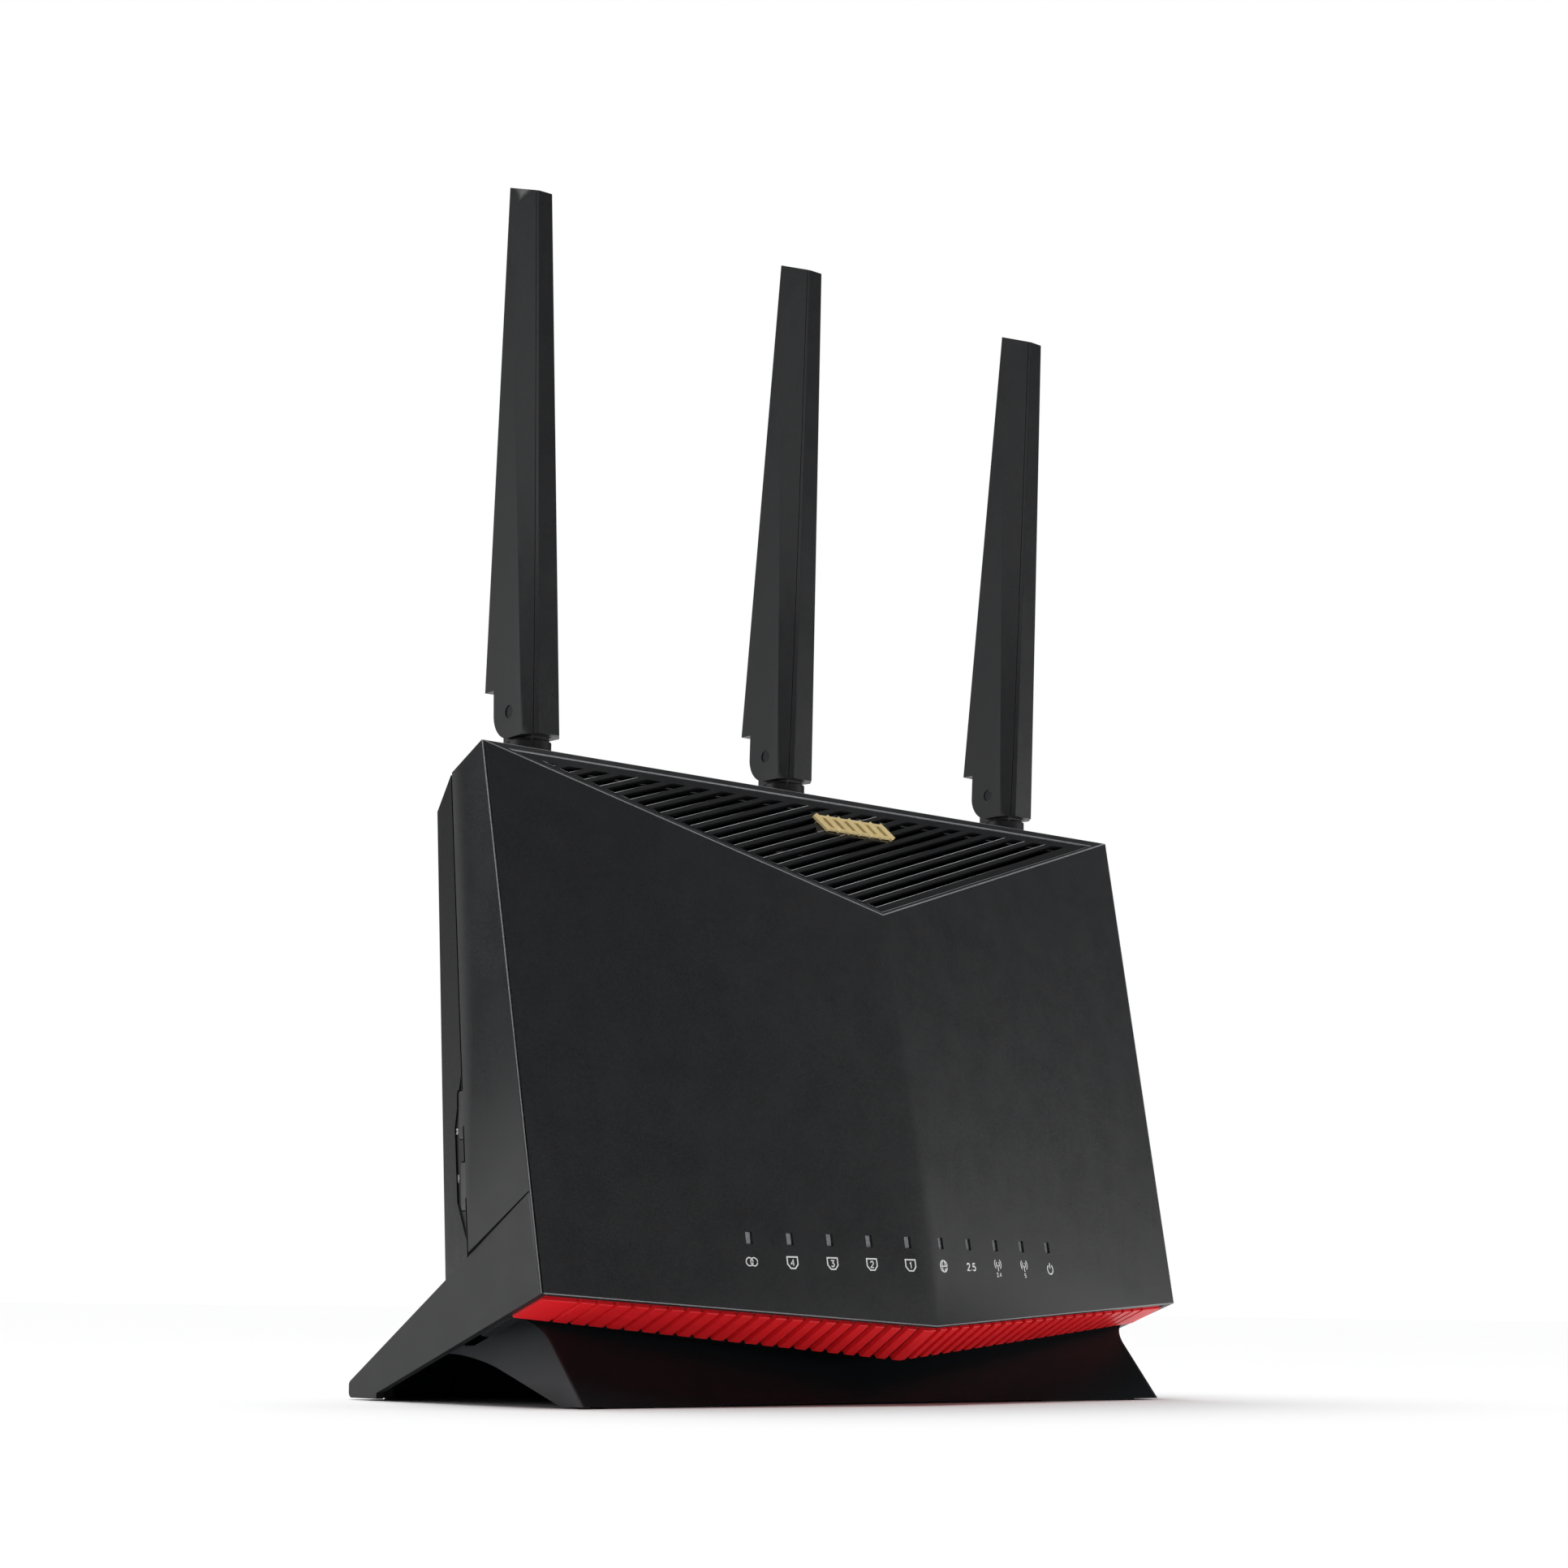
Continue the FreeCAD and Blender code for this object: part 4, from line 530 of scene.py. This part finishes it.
# ------------------------------------------------------------------ printed marks
FACET_CORNERS = (Vector((-121.1, -4.5, 166.9)), Vector((0, -28.6, 131.3)), Vector((0, -50.0, 20.5)))
SIDE_CORNERS = (Vector((-120.99, 8.0, 159.6)), Vector((-119.25, -2.4, 38.0)),
                Vector((-112.3, 25.2, 152.3)))
MARK_HEIGHT = 0.04          # how far a mark stands out of its face
MARK_SINK = 0.02            # and how far it reaches into it
LINE = 0.36
FINE_LINE = 0.29
THIN_LINE = 0.2
MITRE_LIMIT = 0.5
CRISP_MARK = 20.0           # degrees: sharper edges of a mark are crisp
LED_PITCH = 12.6
ICON_Z = 36.3
PORT_TEXT = 0.95            # sizes of the figures, as shares of their drawn size
SPEED_TEXT = 1.15
SMALL_TEXT = 0.62
SMALL_TEXT_DOWN = -1.9
MAST_FOOT = -0.9
POCKET_DEPTH = 0.45
POCKET_MARKS_Y = 9.6
POCKET_SIGN = 0.6
LINK_MARK_Z = 68.0
LIGHT_MARK_SHIFT = -0.8
LIGHT_MARK_Z = 56.0
PANEL_MARKS_UP = 9.4        # from the middle of the connector panel
LAN_COUNT = 4
LAN_PITCH = 14.2
PANEL_SIGN = 0.8

# The outline of a network port, and the strokes of the figures, in millimetres.
PORT_OUTLINE = ((-1.6, 1.45), (1.6, 1.45), (1.6, -0.4), (0.7, -1.45), (-0.7, -1.45), (-1.6, -0.4))
FIGURE_STROKES = {
    "1": ((0.25, 1.25), (0.6, 1.6), (0.6, 0.0)),
    "2": ((0.0, 1.25), (0.25, 1.6), (0.75, 1.6), (1.0, 1.25), (0.9, 0.9), (0.0, 0.0), (1.0, 0.0)),
    "3": ((0.0, 1.6), (0.95, 1.6), (0.5, 0.95), (0.9, 0.8), (1.0, 0.4), (0.7, 0.0), (0.25, 0.0),
          (0.0, 0.25)),
    "4": ((0.75, 0.0), (0.75, 1.6), (0.0, 0.5), (1.0, 0.5)),
    "5": ((0.95, 1.6), (0.15, 1.6), (0.05, 0.9), (0.6, 1.0), (1.0, 0.65), (0.95, 0.25), (0.6, 0.0),
          (0.0, 0.1)),
    ".": ((0.5, 0.0), (0.5, 0.22)),
}
FIGURE_STEP = 1.45
FIGURE_WIDTH = 1.0
FIGURE_HEIGHT = 1.6
POINT_STEP = 0.55           # a decimal point's share of a figure's step
POINT_SHIFT = -0.3


def plane_normal(corners):
    """Return a normal, of any length, of the plane through three corners."""
    return (corners[1] - corners[0]).cross(corners[2] - corners[0])


def on_plane(corners, z, x=None, y=None):
    """Return the point of a plane at a height and at either x or y."""
    normal = plane_normal(corners)
    total = normal.dot(corners[0])
    if y is None:
        return Vector((x, (total - normal.x * x - normal.z * z) / normal.y, z))
    return Vector(((total - normal.y * y - normal.z * z) / normal.x, y, z))


def on_facet(middle_x, middle_z):
    """Return a function that puts flat mark coordinates on the front facets."""
    normal = plane_normal(FACET_CORNERS).normalized()
    if normal.y > 0:
        normal = -normal
    side = -1.0 if middle_x < 0 else 1.0

    def place(u, v, height):
        point = on_plane(FACET_CORNERS, middle_z + v, x=-abs(middle_x + u))
        point += normal * height
        return Vector((-side * point.x, point.y, point.z)) * MM
    return place


def arc(radius, start, end, steps=14, middle=(0.0, 0.0), squeeze=1.0):
    """Return points along an arc, with angles in degrees."""
    points = []
    for i in range(steps + 1):
        angle = math.radians(start + (end - start) * i / steps)
        points.append((middle[0] + radius * squeeze * math.cos(angle),
                       middle[1] + radius * math.sin(angle)))
    return points


def stroke(work, place, points, width=LINE, closed=False, height=MARK_HEIGHT):
    """Add one raised line with mitred corners to a mesh, through points placed on a face."""
    flat = [Vector(p) for p in points]
    count = len(flat)
    rows = []
    for i, point in enumerate(flat):
        before = flat[i - 1] if closed or i else None
        after = flat[(i + 1) % count] if closed or i < count - 1 else None
        arrive = (point - before if before else after - point).normalized()
        leave = (after - point if after else point - before).normalized()
        along = (arrive + leave).normalized()
        across = Vector((-along.y, along.x))
        reach = width / 2 / max(MITRE_LIMIT, across.dot(Vector((-arrive.y, arrive.x))))
        sides = (point + across * reach, point - across * reach)
        row = [work.verts.new(place(p.x, p.y, height)) for p in sides]
        row += [work.verts.new(place(p.x, p.y, -MARK_SINK)) for p in reversed(sides)]
        rows.append(row)
    pairs = list(zip(rows, rows[1:])) + ([(rows[-1], rows[0])] if closed else [])
    for near, far in pairs:
        for i in range(4):
            j = (i + 1) % 4
            work.faces.new((near[i], near[j], far[j], far[i]))
    if not closed:
        work.faces.new(rows[0])
        work.faces.new(list(reversed(rows[-1])))


def figures(work, place, text, middle=(0.0, 0.0), size=1.0, width=FINE_LINE):
    """Add a row of figures centred on a point."""
    steps = [POINT_STEP if figure == "." else 1.0 for figure in text]
    start = middle[0] - (sum(steps) * FIGURE_STEP - (FIGURE_STEP - FIGURE_WIDTH)) * size / 2
    for figure, step in zip(text, steps):
        shift = POINT_SHIFT if figure == "." else 0.0
        points = [(start + (u + shift) * size, middle[1] + (v - FIGURE_HEIGHT / 2) * size)
                  for u, v in FIGURE_STROKES[figure]]
        stroke(work, place, points, width)
        start += step * FIGURE_STEP * size


def power_sign(work, place, size=1.0):
    """Add a broken ring with a bar."""
    stroke(work, place, [(u * size, v * size) for u, v in arc(1.3, 125, 415)])
    stroke(work, place, [(0.0, 0.3 * size), (0.0, 1.75 * size)])


def port_sign(work, place, figure):
    """Add the outline of a network port around its number."""
    stroke(work, place, PORT_OUTLINE, closed=True)
    figures(work, place, figure, size=PORT_TEXT)


def speed_sign(work, place, text):
    """Add the speed of the fast network socket."""
    figures(work, place, text, size=SPEED_TEXT, width=LINE)


def aerial_sign(work, place, band):
    """Add a mast with two pairs of waves, over the name of its radio band."""
    top = MAST_FOOT + 1.9
    stroke(work, place, [(0.0, MAST_FOOT), (0.0, MAST_FOOT + 1.7)], FINE_LINE)
    for radius in (0.75, 1.5):
        for start in (-50, 130):
            stroke(work, place, arc(radius, start, start + 100, 6, (0.0, top)), FINE_LINE)
    figures(work, place, band, (0.0, SMALL_TEXT_DOWN), SMALL_TEXT, THIN_LINE)


def link_sign(work, place, size=1.0):
    """Add two interlocked rings."""
    for side in (-0.7 * size, 0.7 * size):
        stroke(work, place, arc(1.05 * size, 0, 350, 14, (side, 0.0)), FINE_LINE * size)


def globe_sign(work, place):
    """Add a globe: a ring, a meridian and the equator."""
    stroke(work, place, arc(1.5, 0, 346, 18))
    stroke(work, place, arc(1.5, 0, 340, 14, squeeze=0.45), FINE_LINE)
    stroke(work, place, [(-1.5, 0.0), (1.5, 0.0)], FINE_LINE)


def light_sign(work, place):
    """Add a small lamp: a ring and six rays."""
    stroke(work, place, arc(0.45, 0, 340, 10), FINE_LINE * POCKET_SIGN)
    for angle in range(0, 360, 60):
        ray = (arc(0.75, angle, angle, 1)[0], arc(1.1, angle, angle, 1)[0])
        stroke(work, place, ray, FINE_LINE * POCKET_SIGN)


def direct_current_sign(work, place):
    """Add a line over three dashes."""
    stroke(work, place, [(-1.6, 0.5), (1.6, 0.5)])
    for start in (-1.6, -0.4, 0.8):
        stroke(work, place, [(start, -0.4), (start + 0.8, -0.4)])


def strokes_piece(name, work, slot):
    """Finish a mesh of strokes as one piece on the case."""
    bmesh.ops.recalc_face_normals(work, faces=work.faces)
    data = bpy.data.meshes.new(name)
    work.to_mesh(data)
    work.free()
    return new_piece(name, data, "case", slot, CRISP_MARK)


def on_side(middle_y, middle_z):
    """Return a function that puts flat mark coordinates in the side pocket."""
    normal = plane_normal(SIDE_CORNERS).normalized()
    if normal.x > 0:
        normal = -normal

    def place(u, v, height):
        point = on_plane(SIDE_CORNERS, middle_z + v, y=middle_y - u)
        return (point + normal * (height - POCKET_DEPTH)) * MM
    return place


def middle_of(node):
    """Return the middle of a CAD node's box, in metres."""
    box_low, box_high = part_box(node)
    return (Vector(box_low) + Vector(box_high)) / 2


def on_panel(node, shift=0.0):
    """Return a function that puts flat mark coordinates on the connector panel, over a node."""
    panel_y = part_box("connector_panel")[1][1]
    middle_x = middle_of(node).x + shift * MM
    middle_z = middle_of("connector_panel").z + PANEL_MARKS_UP * MM

    def place(u, v, height):
        return Vector((middle_x - u * MM, panel_y + height * MM, middle_z + v * MM))
    return place


# The icons under the indicators, from the left end: how each is drawn, and with what text.
ICON_ROW = (
    (link_sign,), (port_sign, "4"), (port_sign, "3"), (port_sign, "2"), (port_sign, "1"),
    (globe_sign,), (speed_sign, "2.5"), (aerial_sign, "2.4"), (aerial_sign, "5"), (power_sign,),
)
icons = bmesh.new()
for index, (sign, *text) in enumerate(ICON_ROW):
    sign(icons, on_facet((index - (len(ICON_ROW) - 1) / 2) * LED_PITCH, ICON_Z), *text)
strokes_piece("indicator_icons", icons, "printed_marks")

side_marks = bmesh.new()
link_sign(side_marks, on_side(POCKET_MARKS_Y, LINK_MARK_Z), POCKET_SIGN)
light_sign(side_marks, on_side(POCKET_MARKS_Y + LIGHT_MARK_SHIFT, LIGHT_MARK_Z))
strokes_piece("side_pocket_marks", side_marks, "printed_marks")

panel_marks = bmesh.new()
for index in range(LAN_COUNT):
    shift = (index - (LAN_COUNT - 1) / 2) * LAN_PITCH
    figures(panel_marks, on_panel("lan_sockets", shift), str(index + 1), width=LINE)
figures(panel_marks, on_panel("fast_network_socket"), "2.5", width=LINE)
direct_current_sign(panel_marks, on_panel("dc_inlet"))
power_sign(panel_marks, on_panel("power_button"), PANEL_SIGN)
strokes_piece("panel_marks", panel_marks, "printed_marks")


# ------------------------------------------------------------------------- badge
BADGE_UP = 32.0             # from the middle of the grille's front edge, up the slope
BADGE_LIFT = 0.75
BADGE_BARS = 7
BADGE_PITCH = 4.2
BADGE_BAR_WIDTH = 2.2
BADGE_HALF_HEIGHT = 2.5
BADGE_SLANT = 1.5
RAIL_INSET = 0.4
RAIL_WIDTH = 0.8
RAIL_SINK = 0.1


def on_top(middle_x, middle_up):
    """Return a function that puts flat coordinates on the sloping top facet."""
    base, ridge = FACET_CORNERS[1], FACET_CORNERS[0]
    rise = Vector((0.0, ridge.y - base.y, ridge.z - base.z)).normalized()
    outward = Vector((0.0, -rise.z, rise.y))

    def place(u, v, height):
        point = base + rise * (middle_up + v) + outward * height
        point.x = middle_x + u
        return point * MM
    return place


# A row of slanted bars, joined by a rail near their upper ends and one near their lower ends.
badge = bmesh.new()
badge_place = on_top(middle_of("grille_badge").x / MM, BADGE_UP)
badge_reach = (BADGE_BARS - 1) / 2 * BADGE_PITCH
for index in range(BADGE_BARS):
    middle = index * BADGE_PITCH - badge_reach
    stroke(badge, badge_place,
           [(middle + BADGE_SLANT, -BADGE_HALF_HEIGHT), (middle - BADGE_SLANT, BADGE_HALF_HEIGHT)],
           BADGE_BAR_WIDTH, height=BADGE_LIFT)
for v in (RAIL_INSET - BADGE_HALF_HEIGHT, BADGE_HALF_HEIGHT - RAIL_INSET):
    slant = -v / BADGE_HALF_HEIGHT * BADGE_SLANT
    stroke(badge, badge_place, [(slant - badge_reach, v), (slant + badge_reach, v)], RAIL_WIDTH,
           height=BADGE_LIFT - RAIL_SINK)
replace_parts(strokes_piece("grille_badge_bars", badge, "gold"), "grille_badge")


# ------------------------------------------------------------------------- stage
FLOOR_REACH = 12.0
FLOOR_CORNERS = ((-1, -1), (1, -1), (1, 1), (-1, 1))
FLOOR_GREY = (0.86, 0.86, 0.86)
BACKDROP_COLOUR = (1.0, 1.0, 1.0, 1.0)      # what the camera sees behind the object
BACKDROP_STRENGTH = 1.0
FILL_COLOUR = (0.97, 0.98, 1.0, 1.0)        # what lights the object from all round
FILL_STRENGTH = 0.10
CEILING_STRENGTH = 3.5
CEILING_SPREAD = math.radians(60.0)
CEILING_TILT = math.radians(-14.0)
MIDDLE = (0.0, 0.0, 0.13)

# Place, target, size in metres and power in watts of each soft box.
SOFTBOXES = {
    "left_box": ((-0.85, 0.62, 0.26), MIDDLE, (0.74, 0.53), 1.4),
    "right_box": ((0.72, -0.52, 0.04), (0.05, 0.0, 0.05), (0.35, 0.16), 2.0),
}


def sheet(name, corners, material):
    """Add one quadrilateral of the studio."""
    mesh = bpy.data.meshes.new(name)
    mesh.from_pydata(corners, [], [tuple(range(len(corners)))])
    mesh.materials.append(material)
    thing = bpy.data.objects.new(name, mesh)
    scene.collection.objects.link(thing)


def studio_paint(name, colour):
    """Return a matt studio surface."""
    n = Nodes(name)
    n.link(n.spread(n.noise(0.4, 2.0), 0.90, 0.96), n.shader.inputs["Roughness"])
    tint = n.blend(n.spread(n.noise(0.9, 1.0), 0.0, 1.0), shade(colour, 0.995), colour)
    n.link(tint, n.shader.inputs["Base Color"])
    n.shader.inputs["Specular IOR Level"].default_value = 0.1
    return n.material


def studio_world():
    """Light the studio dimly from all round, in front of a white backdrop."""
    world = bpy.data.worlds.new("studio")
    scene.world = world
    world.use_nodes = True
    sky = world.node_tree
    backdrop = sky.nodes["Background"]
    backdrop.inputs["Color"].default_value = BACKDROP_COLOUR
    backdrop.inputs["Strength"].default_value = BACKDROP_STRENGTH
    fill = sky.nodes.new("ShaderNodeBackground")
    fill.inputs["Color"].default_value = FILL_COLOUR
    fill.inputs["Strength"].default_value = FILL_STRENGTH
    choose = sky.nodes.new("ShaderNodeMixShader")
    seen = sky.nodes.new("ShaderNodeLightPath")
    sky.links.new(seen.outputs["Is Camera Ray"], choose.inputs["Fac"])
    sky.links.new(fill.outputs["Background"], choose.inputs[1])
    sky.links.new(backdrop.outputs["Background"], choose.inputs[2])
    sky.links.new(choose.outputs["Shader"], sky.nodes["World Output"].inputs["Surface"])


def softbox(name, place, target, size, power):
    """Add a rectangular area light that faces a point."""
    lamp = bpy.data.lights.new(name, "AREA")
    lamp.shape = "RECTANGLE"
    lamp.size, lamp.size_y = size
    lamp.energy = power
    thing = bpy.data.objects.new(name, lamp)
    thing.location = place
    thing.rotation_mode = "QUATERNION"
    thing.rotation_quaternion = (Vector(target) - Vector(place)).to_track_quat("-Z", "Y")
    scene.collection.objects.link(thing)


def ceiling_light():
    """Add an even, very soft light from above."""
    lamp = bpy.data.lights.new("ceiling", "SUN")
    lamp.energy = CEILING_STRENGTH
    lamp.angle = CEILING_SPREAD
    thing = bpy.data.objects.new("ceiling", lamp)
    thing.rotation_euler = (CEILING_TILT, 0.0, 0.0)
    scene.collection.objects.link(thing)


scene.view_settings.view_transform = "Standard"
sheet("floor", [(x * FLOOR_REACH, y * FLOOR_REACH, 0) for x, y in FLOOR_CORNERS],
      studio_paint("floor_paint", FLOOR_GREY))
studio_world()
for name, (place, target, size, power) in SOFTBOXES.items():
    softbox(name, place, target, size, power)
ceiling_light()
